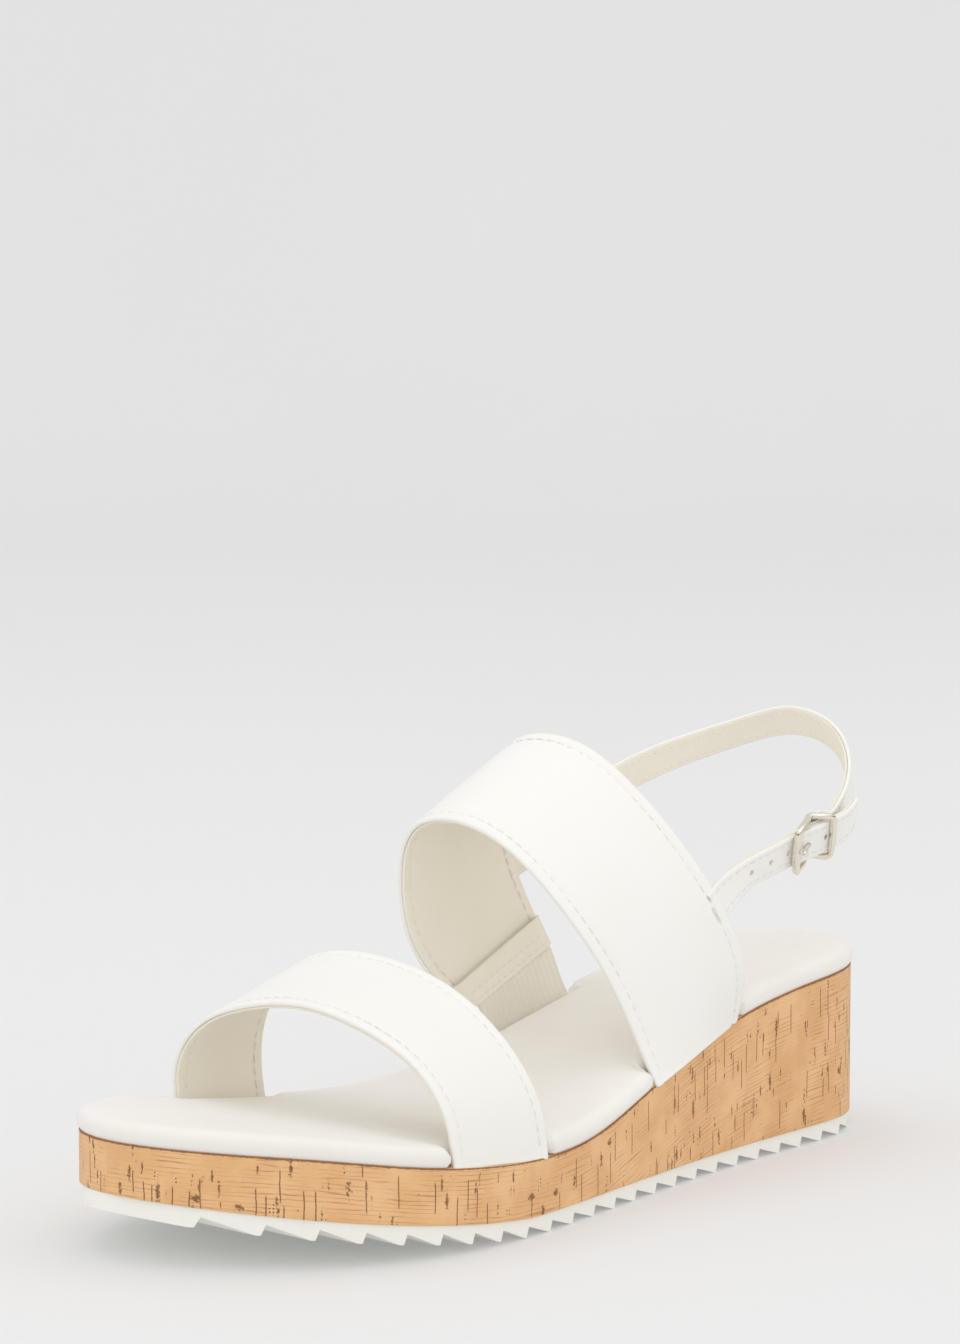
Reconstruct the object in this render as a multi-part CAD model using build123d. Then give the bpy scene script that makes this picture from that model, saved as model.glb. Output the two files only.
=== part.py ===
from build123d import *
import math
import os

# A left-foot wedge sandal: two wide bands, a slingback with a centre-bar buckle, a cork-covered
# wedge and a sawtooth outsole. Toe towards -Y, heel towards +Y, outer (buckle) side towards +X,
# the ground at Z = 0. All sizes in millimetres.

# ---- driving dimensions: the sole ----
sole_length = 250.0
ball_width = 91.0
outsole_thickness = 4.7
tread_depth = 2.5
tread_pitch = 9.7
tread_land = 0.8
tread_rise = 0.9
toe_spring = 11.8
toe_spring_start = 0.36
toe_lip_relief = 1.4
platform_height = 13.6
heel_height = 40.0
outsole_inset = 0.8
cork_thickness = 0.9
footbed_thickness = 5.5
footbed_inset = 4.2
cover_thickness = 0.9
board_thickness = 1.8

# ---- driving dimensions: the bands ----
upper_thickness = 1.1
lining_thickness = 0.8
lining_setback = 0.5
glue_line = 0.06
foot_lift = 0.9
hem_height = 8.0
hem_thickness = 0.7
gore_thickness = 1.2
gore_gap = 0.1
vamp_rise = 32.5
instep_rise = 57.0
tack_thickness = 0.35
tack_lift = 0.3

# ---- driving dimensions: the sling, the billet and the buckle ----
strap_width = 9.0
strap_thickness = 0.9
strap_lining_thickness = 0.7
root_clearance = 0.9
tab_gap = 0.9
tab_length = 6.0
billet_clearance = 0.15
rail_width = 1.5
rail_depth = 1.5
strap_side_play = 0.5
bar_radius = 0.8
front_bar_radius = 1.0
rear_bar_radius = 0.6
front_reach = 9.3
rear_reach = 4.2
bar_proud = 4.4
turnback_length = 6.0
turnback_thickness = 0.7
turnback_clearance = 0.4
prong_radius = 0.55
prong_clearance = 0.3
prong_open_angle = 25.0
hole_radius = 0.8
hole_pitch = 6.8
hole_count_front = 3
tail_length = 17.5

# Plan of the sole: (share of the length behind the toe tip, reach to the outer side and reach to the
# inner side, both as shares of the ball width).
SOLE_PLAN = [
    (0.032, 0.146, -0.303), (0.068, 0.268, -0.387), (0.120, 0.381, -0.452), (0.188, 0.466, -0.491),
    (0.280, 0.504, -0.487), (0.380, 0.481, -0.430), (0.480, 0.429, -0.360), (0.580, 0.375, -0.309),
    (0.680, 0.326, -0.287), (0.780, 0.291, -0.292), (0.868, 0.267, -0.291), (0.932, 0.235, -0.253),
    (0.972, 0.167, -0.177),
]
TOE_TIP = -0.095
HEEL_TIP = -0.010

# Climb of the wedge from the platform to the heel: (share of the length, share of the climb).
WEDGE_CLIMB = [
    (-0.04, -0.06), (0.0, -0.04), (0.1, 0.015), (0.2, 0.0), (0.3, 0.0), (0.38, 0.005), (0.46, 0.057),
    (0.54, 0.25), (0.62, 0.481), (0.74, 0.769), (0.86, 0.92), (1.0, 1.0), (1.04, 1.01),
]


def along(share):
    """Y of a station, from its share of the sole's length behind the toe tip."""
    return (share - 0.5) * sole_length


def ground_gap(y):
    """Height of the tread's tips: flat on the ground, then the toe spring."""
    share = y / sole_length + 0.5
    return toe_spring * max(0.0, 1 - share / toe_spring_start) ** 1.3


def climb(y):
    """Share of the wedge's climb at y, straight between the stations."""
    share = y / sole_length + 0.5
    for (s0, c0), (s1, c1) in zip(WEDGE_CLIMB, WEDGE_CLIMB[1:]):
        if share <= s1:
            return c0 + (c1 - c0) * (share - s0) / (s1 - s0)
    return WEDGE_CLIMB[-1][1]


def outsole_top(y):
    return ground_gap(y) + outsole_thickness


def wedge_top(y):
    return outsole_top(y) + platform_height + (heel_height - platform_height) * climb(y)


def raised(height, lift):
    """The same height curve, lifted."""
    return lambda y: height(y) + lift


def plan_face(inset):
    """The sole's plan as one closed spline, moved inwards by inset."""
    outer = [(across * ball_width, along(share)) for share, across, _ in SOLE_PLAN]
    inner = [(across * ball_width, along(share)) for share, _, across in reversed(SOLE_PLAN)]
    toe, heel = (TOE_TIP * ball_width, along(0)), (HEEL_TIP * ball_width, along(1))
    ring = [toe, *outer, heel, *inner]
    moved = []
    for i, (x, y) in enumerate(ring):
        x0, y0 = ring[i - 1]
        x1, y1 = ring[(i + 1) % len(ring)]
        size = math.hypot(x1 - x0, y1 - y0)
        moved.append((x - inset * (y1 - y0) / size, y + inset * (x1 - x0) / size))
    return make_face(Spline(*moved, periodic=True))


def plan_prism(inset):
    """The sole's plan, raised through the whole height."""
    tall = toe_spring + heel_height + outsole_thickness + footbed_thickness + 40
    return extrude(Pos(0, 0, -10) * plan_face(inset), tall)


def profile_points(height):
    return [Vector(0, along(share), height(along(share))) for share, _ in WEDGE_CLIMB]


def side_slab(lower_edges, upper):
    """A slab across the shoe, between a chain of lower edges and an upper height curve."""
    top = Spline(*profile_points(upper))
    start, end = lower_edges[0] @ 0, lower_edges[-1] @ 1
    sides = [Line(start, top @ 0), Line(end, top @ 1)]
    face = make_face(lower_edges + sides + [top])
    return extrude(face, amount=ball_width, dir=(1, 0, 0), both=True)


def layer(lower, upper, inset):
    """A level layer of the sole between two height curves, cut to the plan."""
    return side_slab([Spline(*profile_points(lower))], upper) & plan_prism(inset)


# ---- the sole ----

def make_outsole():
    """Moulded outsole: a flat band above a sawtooth tread whose steep faces look to the heel."""
    count = int((sole_length * 0.96) / tread_pitch) + 1
    last = along(0.962)
    path = [(along(-0.04), ground_gap(along(-0.04)) + toe_lip_relief)]
    for k in reversed(range(count)):
        tip = last - k * tread_pitch
        path.append((tip - tread_land / 2, ground_gap(tip)))
        path.append((tip + tread_land / 2, ground_gap(tip)))
        path.append((tip + tread_land / 2 + tread_rise, ground_gap(tip) + tread_depth))
    path.append((along(1.04), 0.2))
    tread = Polyline(*[(0, y, z) for y, z in path])
    return side_slab([tread], outsole_top) & plan_prism(outsole_inset)


def make_wedge_core():
    return layer(outsole_top, wedge_top, cork_thickness)


def make_cork_wrap():
    return layer(outsole_top, wedge_top, 0) - plan_prism(cork_thickness)


def make_insole_board():
    return layer(wedge_top, raised(wedge_top, board_thickness), footbed_inset + cover_thickness)


def make_footbed_foam():
    top = raised(wedge_top, footbed_thickness - cover_thickness)
    return layer(raised(wedge_top, board_thickness), top, footbed_inset + cover_thickness)


def make_footbed_cover():
    """The padded footbed's wrapped skin: over the top and down the sides."""
    whole = layer(wedge_top, raised(wedge_top, footbed_thickness), footbed_inset)
    top = raised(wedge_top, footbed_thickness - cover_thickness)
    hollow = layer(raised(wedge_top, -1), top, footbed_inset + cover_thickness)
    return whole - hollow


# ---- the bands ----

def band_edge(outer_foot, inner_foot, rise, shape):
    """One edge of a band. Feet are (x, y, z); shape lists (across, forward, up): across runs from 1 at
    the outer foot to -1 at the inner, forward moves the point to the toe in millimetres, and up is a
    share of the rise."""
    a, b = Vector(*outer_foot), Vector(*inner_foot)
    points = [a]
    for across, forward, up in shape:
        base = a + (b - a) * ((1 - across) / 2)
        points.append(base + Vector(0, -forward, up * rise))
    return Spline(*points, b)


def patch(front, rear, t0, t1, u0, u1, d0, d1, sections):
    """A curved plate in a band: from t0 to t1 along it, from u0 (front edge) to u1 (rear edge) across
    it, and from depth d0 to depth d1 under its outer surface."""
    faces = []
    for i in range(sections + 1):
        t = t0 + (t1 - t0) * i / sections
        f, r = front @ t, rear @ t
        forward = (front % t + rear % t).normalized()
        out = (r - f).cross(forward).normalized()
        near, far = f + (r - f) * u0, f + (r - f) * u1
        corners = [near - out * d0, far - out * d0, far - out * d1, near - out * d1]
        faces.append(make_face(Polyline(*corners, close=True)))
    return loft(faces)


def sole_edge(share, inner_side):
    """Foot of a band: the point just inside the sole's edge, at the wedge's top, at a station."""
    y = along(share)
    for row0, row1 in zip(SOLE_PLAN, SOLE_PLAN[1:]):
        if share <= row1[0]:
            mix = (share - row0[0]) / (row1[0] - row0[0])
            side = 2 if inner_side else 1
            x = (row0[side] + (row1[side] - row0[side]) * mix) * ball_width
            return (x, y, wedge_top(y) + foot_lift)
    return (0, y, wedge_top(y) + foot_lift)


vamp_front = band_edge(
    sole_edge(0.243, False), sole_edge(0.216, True), vamp_rise,
    [(0.96, 0, 0.28), (0.79, 0.5, 0.62), (0.42, 1.5, 0.89), (-0.05, 2.5, 1.0), (-0.52, 2, 0.89),
     (-0.88, 1, 0.63), (-1.02, 0, 0.30)])
vamp_rear = band_edge(
    sole_edge(0.375, False), sole_edge(0.328, True), vamp_rise * 1.32,
    [(0.97, 0, 0.20), (0.78, -0.5, 0.52), (0.38, -1, 0.83), (-0.25, -1.5, 0.99), (-0.68, -1, 0.93),
     (-0.97, 0, 0.66), (-1.04, 0, 0.35)])

# The instep band's inner side ends above the sole, at a hem; an elastic gore joins it to the sole.
hem_front = (-0.31 * ball_width, along(0.560), wedge_top(along(0.560)) + 12.0)
hem_rear = (-0.345 * ball_width, along(0.696), wedge_top(along(0.696)) + 15.6)
instep_front = band_edge(
    sole_edge(0.572, False), hem_front, instep_rise,
    [(0.92, 1.2, 0.10), (0.69, 7, 0.44), (0.30, 13, 0.74), (-0.18, 16, 0.92), (-0.67, 17.3, 0.95),
     (-1.09, 17, 0.85), (-1.29, 15, 0.57), (-1.22, 12.5, 0.28)])
instep_rear = band_edge(
    sole_edge(0.728, False), hem_rear, instep_rise * 1.13,
    [(1.13, 3, 0.22), (1.05, 8, 0.455), (0.71, 12.8, 0.70), (0.24, 16, 0.885), (-0.34, 17.6, 0.967),
     (-0.85, 17.6, 0.88), (-1.15, 12.4, 0.58), (-1.17, 6.4, 0.30)])

BAND_DEPTH = upper_thickness + glue_line + lining_thickness
WHOLE = (0, 1)
VAMP_SECTIONS = 16
INSTEP_SECTIONS = 18


def make_band(front, rear, sections):
    return patch(front, rear, *WHOLE, *WHOLE, 0, upper_thickness, sections)


def make_band_lining(front, rear, sections):
    setback = lining_setback / (rear @ 0.5 - front @ 0.5).length
    return patch(front, rear, *WHOLE, setback, 1 - setback, upper_thickness + glue_line, BAND_DEPTH, sections)


def make_instep_hem():
    """The band's turned-over end inside its inner side, which holds the gore's top."""
    start = 1 - hem_height / instep_front.length
    depth = BAND_DEPTH + glue_line
    return patch(instep_front, instep_rear, start, 1, 0.04, 0.96, depth, depth + hem_thickness, 3)


def make_elastic_gore():
    """Ribbed elastic between the hem and the sole's inner edge."""
    depth = BAND_DEPTH + glue_line + hem_thickness + gore_gap
    f, r = instep_front @ 1, instep_rear @ 1
    lap = hem_height * 0.6
    top_front = f + (r - f) * 0.30 + Vector(0, 0, lap)
    top_rear = f + (r - f) * 0.93 + Vector(0, 0, lap)
    foot_front, foot_rear = Vector(*sole_edge(0.622, True)), Vector(*sole_edge(0.700, True))
    bulge = Vector(-0.6, 0, 0)
    front = Spline(top_front, (top_front + foot_front) / 2 + bulge, foot_front)
    rear = Spline(top_rear, (top_rear + foot_rear) / 2 + bulge, foot_rear)
    return patch(front, rear, *WHOLE, *WHOLE, depth, depth + gore_thickness, 5)


# ---- the sling ----

STACK = strap_thickness + glue_line + strap_lining_thickness
HEEL_SEAT = outsole_thickness + heel_height
ROOT_SETBACK = strap_width / 2 + root_clearance + 1.6

# The buckle's own frame: the middle of its centre bar, and the directions along the strap, across its
# width and outwards from the ankle.
BUCKLE_AT = Vector(0.313 * ball_width, along(0.8356), HEEL_SEAT + 37.9)
ALONG = Vector(0.049, 0.975, 0.219).normalized()
ACROSS = ALONG.cross(Vector(0.276, -0.224, 0.935).cross(ALONG)).normalized()
OUT = ALONG.cross(ACROSS)

# Middle of the sling round the heel: (share of the ball width, share of the length, height over the
# heel seat), with the direction across its width.
SLING_ROUTE = [
    ((-0.401, 0.794, 43.0), (0.05, -0.33, 0.94)),
    ((-0.387, 0.872, 49.8), (0.14, -0.38, 0.91)),
    ((-0.344, 0.923, 53.6), (0.26, -0.38, 0.89)),
    ((-0.245, 0.972, 58.2), (0.30, -0.42, 0.85)),
    ((-0.119, 0.996, 61.3), (0.14, -0.50, 0.85)),
    ((0.008, 0.998, 59.3), (0.02, -0.42, 0.91)),
    ((0.108, 0.982, 55.3), (0.08, -0.33, 0.94)),
    ((0.200, 0.952, 49.8), (0.15, -0.32, 0.93)),
    ((0.262, 0.918, 45.0), (0.20, -0.31, 0.93)),
    ((0.303, 0.884, 41.2), (0.25, -0.28, 0.93)),
]


def buckle_point(station, width, out):
    return BUCKLE_AT + ALONG * station + ACROSS * width + OUT * out


def heel_point(across, share, height):
    return Vector(across * ball_width, along(share), HEEL_SEAT + height)


def root_of(t, target):
    """Where a strap leaves the instep band's rear edge for a target: its hinge point behind the edge,
    and its frame: run along the strap, across it and out from the foot."""
    f, r = instep_front @ t, instep_rear @ t
    out = (r - f).cross((instep_front % t + instep_rear % t).normalized()).normalized()
    run = (target - r).normalized()
    point = r + run * ROOT_SETBACK - out * (BAND_DEPTH + tab_gap + STACK / 2)
    out = (out - run * out.dot(run)).normalized()
    return point, run, out.cross(run).normalized(), out


SLING_T = 0.855
BILLET_T = 0.178
sling_root, sling_run, sling_across, sling_out = root_of(SLING_T, heel_point(*SLING_ROUTE[0][0]))
billet_root, billet_run, billet_across, billet_out = root_of(BILLET_T, buckle_point(-22.9, -0.5, 1.8))


def upward(direction):
    return direction if direction.Z > 0 else direction * -1


def edges_of(route):
    """Upper and lower edge of a strap, from its middle points and the directions across it."""
    upper = Spline(*[p + a.normalized() * strap_width / 2 for p, a in route])
    lower = Spline(*[p - a.normalized() * strap_width / 2 for p, a in route])
    return upper, lower


def sling_route():
    route = [(sling_root, upward(sling_across)), (sling_root + sling_run * 5, upward(sling_across))]
    route += [(heel_point(*place), Vector(*direction)) for place, direction in SLING_ROUTE]
    start = bar_radius + turnback_clearance + 1.2
    for station in (1.2, -1.0):
        route.append((buckle_point(turnback_length + station, 0, 0), ACROSS))
    route.append((buckle_point(start, 0, 0), ACROSS))
    return route


# Over the turned-back sling at the centre bar, and under the bars in front and behind.
BILLET_OVER = bar_radius + turnback_clearance + turnback_thickness + billet_clearance + STACK / 2


def billet_route():
    route = [(billet_root, upward(billet_across)), (billet_root + billet_run * 2.5, upward(billet_across))]
    offsets = [(-22.9, -0.5, BILLET_OVER - 1.0), (-15.0, -0.2, BILLET_OVER - 0.7),
               (-front_reach, 0, BILLET_OVER - 0.5), (-4.0, 0, BILLET_OVER - 0.1), (0, 0, BILLET_OVER),
               (rear_reach, 0, BILLET_OVER), (9.0, 0, BILLET_OVER - 0.1),
               (14.0, 0.3, BILLET_OVER - 1.1), (tail_length, 0.8, BILLET_OVER - 2.6)]
    route += [(buckle_point(*offset), ACROSS) for offset in offsets]
    return route


sling_upper, sling_lower = edges_of(sling_route())
billet_upper, billet_lower = edges_of(billet_route())
SLING_SECTIONS = 40
BILLET_SECTIONS = 40


def root_end(right, left, d0, d1):
    """The rounded end of a strap at its root: half a disc on the plane of the strap's first section."""
    r, f = right @ 0, left @ 0
    forward = (right % 0 + left % 0).normalized()
    out = (r - f).cross(forward).normalized()
    plane = Plane(origin=(r + f) / 2 - out * ((d0 + d1) / 2), x_dir=(r - f).normalized(), z_dir=out)
    half = Cylinder(strap_width / 2, d1 - d0) & Pos(0, -strap_width / 2, 0) * Box(strap_width, strap_width, STACK)
    return plane * half


def make_sling_ply(d0, d1):
    ply = patch(sling_lower, sling_upper, *WHOLE, *WHOLE, d0, d1, SLING_SECTIONS)
    return ply + root_end(sling_upper, sling_lower, d0, d1)


def make_billet_ply(d0, d1):
    ply = patch(billet_upper, billet_lower, *WHOLE, *WHOLE, d0, d1, BILLET_SECTIONS)
    ply += root_end(billet_lower, billet_upper, d0, d1)
    for cut in [prong_slot(), *punched_holes()]:
        ply -= cut
    return ply


def make_tab(point, across, out):
    """A strap's sewn end under the instep band, hollowed round the strap's root."""
    plane = Plane(origin=point, x_dir=across, z_dir=out)
    tab = Pos(0, (ROOT_SETBACK + tab_length) / 2, 0) * Box(strap_width, ROOT_SETBACK + tab_length, STACK)
    hollow = Cylinder(strap_width / 2 + root_clearance, 12)
    return plane * (tab - hollow)


def make_bar_tacks():
    """The two dense rows of stitches that hold the straps' ends under the band."""
    tacks = []
    for t in (SLING_T, BILLET_T):
        half = strap_width * 0.42 / instep_rear.length
        tacks.append(patch(instep_front, instep_rear, t - half, t + half, 0.925, 0.955, -tack_lift - tack_thickness, -tack_lift, 3))
    return Compound(children=tacks)


# ---- the buckle ----
# Drawn in its own plane: X along the strap, Y outwards, Z down across the strap.

BUCKLE_PLANE = Plane(origin=BUCKLE_AT, x_dir=ALONG, z_dir=ACROSS * -1)
BAR_LENGTH = strap_width + 2 * (strap_side_play + rail_width)
EYE_FIT = 0.08
EYE_WALL = 0.75
PRONG_ANGLE = math.degrees(
    math.atan2(bar_proud, front_reach)
    + math.asin((front_bar_radius + prong_radius + 0.1) / math.hypot(bar_proud, front_reach)))


def prong_slot():
    """The fastened hole, drawn out along the strap so that the prong can lift."""
    rest, opened = math.radians(PRONG_ANGLE), math.radians(PRONG_ANGLE + prong_open_angle)
    outer, inner = BILLET_OVER + STACK / 2, BILLET_OVER - STACK / 2
    front = -(outer + prong_radius / math.cos(rest)) / math.tan(rest) - prong_clearance
    back = -(inner - prong_radius / math.cos(opened)) / math.tan(opened) + prong_clearance
    slot = Pos((front + back) / 2, BILLET_OVER, 0) * Box(back - front, 8, 2 * (prong_radius + prong_clearance))
    return BUCKLE_PLANE * slot


def billet_middle(t):
    return (billet_upper @ t + billet_lower @ t) / 2


def punched_holes():
    """The holes still free: a row in front of the buckle and one behind its centre bar."""
    prong_at = -BILLET_OVER / math.tan(math.radians(PRONG_ANGLE))
    steps = [-k for k in range(1, hole_count_front + 1)] + [1]
    fine = 500
    holes = []
    for step in steps:
        station = prong_at + step * hole_pitch
        gaps = [abs((billet_middle(i / fine) - BUCKLE_AT).dot(ALONG) - station) for i in range(fine + 1)]
        t = gaps.index(min(gaps)) / fine
        across = billet_lower @ t - billet_upper @ t
        out = across.cross((billet_upper % t + billet_lower % t).normalized()).normalized()
        holes.append(Plane(origin=billet_middle(t), z_dir=out) * Cylinder(hole_radius, 6))
    return holes


def make_buckle_frame():
    """Die-cast double frame: its side rails dip to the centre bar, so the strap lies flat."""
    rail = trace(Polyline((-front_reach, bar_proud), (0, 0), (rear_reach, bar_proud)), rail_depth)
    frame = None
    for side in (-1, 1):
        middle = side * (BAR_LENGTH / 2 - rail_width / 2)
        piece = extrude(Pos(0, 0, middle) * rail, rail_width / 2, both=True)
        frame = piece if frame is None else frame + piece
    frame += Pos(-front_reach, bar_proud, 0) * Cylinder(front_bar_radius, BAR_LENGTH)
    frame += Pos(rear_reach, bar_proud, 0) * Cylinder(rear_bar_radius, BAR_LENGTH)
    frame += Cylinder(bar_radius, BAR_LENGTH)
    return BUCKLE_PLANE * frame


def make_buckle_prong():
    """A wire prong with an eye round the centre bar; its tip lies on the front bar."""
    reach = math.hypot(bar_proud, front_reach) + front_bar_radius * 0.5
    eye = Cylinder(bar_radius + EYE_FIT + EYE_WALL, 2 * prong_radius)
    start = bar_radius + EYE_FIT + EYE_WALL / 2
    wire = Rot(0, -90, 0) * Pos(0, 0, (start + reach) / 2) * Cylinder(prong_radius, reach - start)
    tip = Pos(-reach, 0, 0) * Sphere(prong_radius)
    prong = eye + wire + tip - Cylinder(bar_radius + EYE_FIT, 4 * prong_radius)
    return BUCKLE_PLANE * (Rot(0, 0, -PRONG_ANGLE) * prong)


def make_sling_turnback():
    """The sling's end, turned round the centre bar and back on both sides of the strap."""
    inner = bar_radius + turnback_clearance
    outer = inner + turnback_thickness
    section = Circle(outer) + Pos(turnback_length / 2, 0) * Rectangle(turnback_length, 2 * outer)
    section -= Circle(inner) + Pos(turnback_length, 0) * Rectangle(2 * turnback_length, 2 * inner)
    loop = extrude(section, strap_width / 2, both=True)
    slot = Pos(-outer / 2, 0, 0) * Box(outer + 2 * (inner + EYE_WALL), 4 * outer, 2 * (prong_radius + prong_clearance))
    return BUCKLE_PLANE * (loop - slot)


# ---- the assembly ----

parts = {
    "outsole": make_outsole(),
    "wedge_core": make_wedge_core(),
    "cork_wrap": make_cork_wrap(),
    "insole_board": make_insole_board(),
    "footbed_foam": make_footbed_foam(),
    "footbed_cover": make_footbed_cover(),
    "vamp_band": make_band(vamp_front, vamp_rear, VAMP_SECTIONS),
    "vamp_lining": make_band_lining(vamp_front, vamp_rear, VAMP_SECTIONS),
    "instep_band": make_band(instep_front, instep_rear, INSTEP_SECTIONS),
    "instep_lining": make_band_lining(instep_front, instep_rear, INSTEP_SECTIONS),
    "instep_hem": make_instep_hem(),
    "elastic_gore": make_elastic_gore(),
    "sling_tab": make_tab(sling_root, sling_across, sling_out),
    "billet_tab": make_tab(billet_root, billet_across, billet_out),
    "bar_tacks": make_bar_tacks(),
    "sling_strap": make_sling_ply(-STACK / 2, strap_thickness - STACK / 2),
    "sling_lining": make_sling_ply(STACK / 2 - strap_lining_thickness, STACK / 2),
    "sling_turnback": make_sling_turnback(),
    "billet_strap": make_billet_ply(-STACK / 2, strap_thickness - STACK / 2),
    "billet_lining": make_billet_ply(STACK / 2 - strap_lining_thickness, STACK / 2),
    "buckle_frame": make_buckle_frame(),
    "buckle_prong": make_buckle_prong(),
}

# The origin is the middle of the shoe's footprint box, on the ground.
corners = [corner for part in parts.values() for corner in (part.bounding_box().min, part.bounding_box().max)]
low = [min(tuple(corner)[i] for corner in corners) for i in range(3)]
high = [max(tuple(corner)[i] for corner in corners) for i in range(3)]
shift = Vector(-(low[0] + high[0]) / 2, -(low[1] + high[1]) / 2, -low[2])

os.makedirs("parts", exist_ok=True)
for name, part in parts.items():
    export_step(Pos(shift) * part, f"parts/{name}.step")

print("shift", shift)
print("sling hinge through", sling_root + shift, "and", billet_root + shift)
print("prong hinge at", BUCKLE_AT + shift, "along", ACROSS)
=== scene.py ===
import bmesh
import bpy
import numpy as np
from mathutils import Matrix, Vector


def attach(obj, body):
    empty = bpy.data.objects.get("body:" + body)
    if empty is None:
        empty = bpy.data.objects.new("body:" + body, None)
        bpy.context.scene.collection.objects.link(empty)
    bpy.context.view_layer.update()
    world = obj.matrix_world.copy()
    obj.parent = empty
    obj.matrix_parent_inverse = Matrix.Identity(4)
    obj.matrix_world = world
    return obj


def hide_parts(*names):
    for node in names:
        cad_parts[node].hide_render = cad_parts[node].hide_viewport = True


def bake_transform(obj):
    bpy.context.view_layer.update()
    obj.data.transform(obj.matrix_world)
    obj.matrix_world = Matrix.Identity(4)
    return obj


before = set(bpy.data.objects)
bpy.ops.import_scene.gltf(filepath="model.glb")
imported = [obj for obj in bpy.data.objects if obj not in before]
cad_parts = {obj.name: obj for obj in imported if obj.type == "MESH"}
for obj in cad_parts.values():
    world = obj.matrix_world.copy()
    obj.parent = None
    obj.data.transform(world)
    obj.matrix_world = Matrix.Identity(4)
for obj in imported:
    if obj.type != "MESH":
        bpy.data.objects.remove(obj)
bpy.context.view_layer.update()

# ---------------------------------------------------------------------------------------------
# The outsole: one moulding of white rubber-like foam, glued under the wedge. Its tread is a row of
# saw teeth whose steep faces look to the heel; the toe end is plain and lifts off the ground.
# ---------------------------------------------------------------------------------------------

SOLE_LENGTH = 250.0
BALL_WIDTH = 91.0
MIDDLE = np.array([0.021, -1.338, 0.0])
OUTSOLE_THICKNESS = 4.7
TOE_SPRING = 11.8
TOE_SPRING_START = 0.36
PLATFORM_HEIGHT = 13.6
HEEL_HEIGHT = 40.0

# The sole's plan: share of the length behind the toe tip, then the reach to the outer and to the
# inner side as shares of the ball width.
SOLE_PLAN = np.array([
    (0.032, 0.146, -0.303), (0.068, 0.268, -0.387), (0.120, 0.381, -0.452), (0.188, 0.466, -0.491),
    (0.280, 0.504, -0.487), (0.380, 0.481, -0.430), (0.480, 0.429, -0.360), (0.580, 0.375, -0.309),
    (0.680, 0.326, -0.287), (0.780, 0.291, -0.292), (0.868, 0.267, -0.291), (0.932, 0.235, -0.253),
    (0.972, 0.167, -0.177),
])
TOE_TIP = -0.095
HEEL_TIP = -0.010

# Climb of the wedge from the platform to the heel: share of the length, share of the climb.
WEDGE_CLIMB = np.array([
    (-0.04, -0.06), (0.0, -0.04), (0.1, 0.015), (0.2, 0.0), (0.3, 0.0), (0.38, 0.005), (0.46, 0.057),
    (0.54, 0.25), (0.62, 0.481), (0.74, 0.769), (0.86, 0.92), (1.0, 1.0), (1.04, 1.01),
])


def unit(v):
    """A direction with a length of one, or one for each row."""
    v = np.asarray(v, float)
    return v / np.linalg.norm(v, axis=-1, keepdims=True)


def square_to(run, v):
    """Directions v with what lies along run taken out."""
    return unit(v - run * (v * run).sum(-1, keepdims=True))


def gone_along(points):
    """Distance gone along a line at each of its points."""
    return np.concatenate([[0], np.cumsum(np.linalg.norm(np.diff(points, axis=0), axis=1))])


def smooth_curve(points, closed=False):
    """A cubic through the points whose slope and bend run on unbroken from piece to piece, with the
    distance along the chords as its parameter. Gives a function of shares 0 to 1 of its length."""
    p = np.array(points, float)
    if closed:
        p = np.vstack([p, p[:1]])
    h = np.linalg.norm(np.diff(p, axis=0), axis=1)
    n = len(h)
    slope = np.diff(p, axis=0) / h[:, None]
    system = np.zeros((n + 1, n + 1))
    right = np.zeros((n + 1, p.shape[1]))
    i = np.arange(1, n)
    system[i, i - 1], system[i, i], system[i, i + 1] = h[i - 1], 2 * (h[i - 1] + h[i]), h[i]
    right[i] = 6 * (slope[i] - slope[i - 1])
    system[0, 0], system[n, n] = 1, 1
    if closed:
        system[0, n] = -1
        system[n] = 0
        system[n, [0, 1, n - 1]] = 2 * (h[-1] + h[0]), h[0], h[-1]
        right[n] = 6 * (slope[0] - slope[-1])
    bend = np.linalg.solve(system, right)
    knots = gone_along(p)
    x = np.linspace(0, knots[-1], 60 * n + 1)
    k = np.clip(np.searchsorted(knots, x, "right") - 1, 0, n - 1)
    b = ((x - knots[k]) / h[k])[:, None]
    a = 1 - b
    fine = a * p[k] + b * p[k + 1] + ((a**3 - a) * bend[k] + (b**3 - b) * bend[k + 1]) * h[k, None] ** 2 / 6
    gone = gone_along(fine)

    def at(shares):
        return np.stack([np.interp(np.asarray(shares) * gone[-1], gone, c) for c in fine.T], -1)

    at.length = gone[-1]
    return at


def along(share):
    """Y of a station, from its share of the sole's length behind the toe tip."""
    return (share - 0.5) * SOLE_LENGTH


def ground_gap(y):
    """Height of the tread's tips: flat on the ground, then the toe spring."""
    share = y / SOLE_LENGTH + 0.5
    return TOE_SPRING * np.maximum(0, 1 - share / TOE_SPRING_START) ** 1.3


def outsole_top(y):
    return ground_gap(y) + OUTSOLE_THICKNESS


climb_curve = smooth_curve(
    [(along(s), along(s) * 0, outsole_top(along(s)) + PLATFORM_HEIGHT + (HEEL_HEIGHT - PLATFORM_HEIGHT) * c)
     for s, c in WEDGE_CLIMB])(np.linspace(0, 1, 900))


def wedge_top(y):
    """Height of the wedge's top at y, on a smooth curve through its stations."""
    return np.interp(y, climb_curve[:, 0], climb_curve[:, 2])


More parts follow.
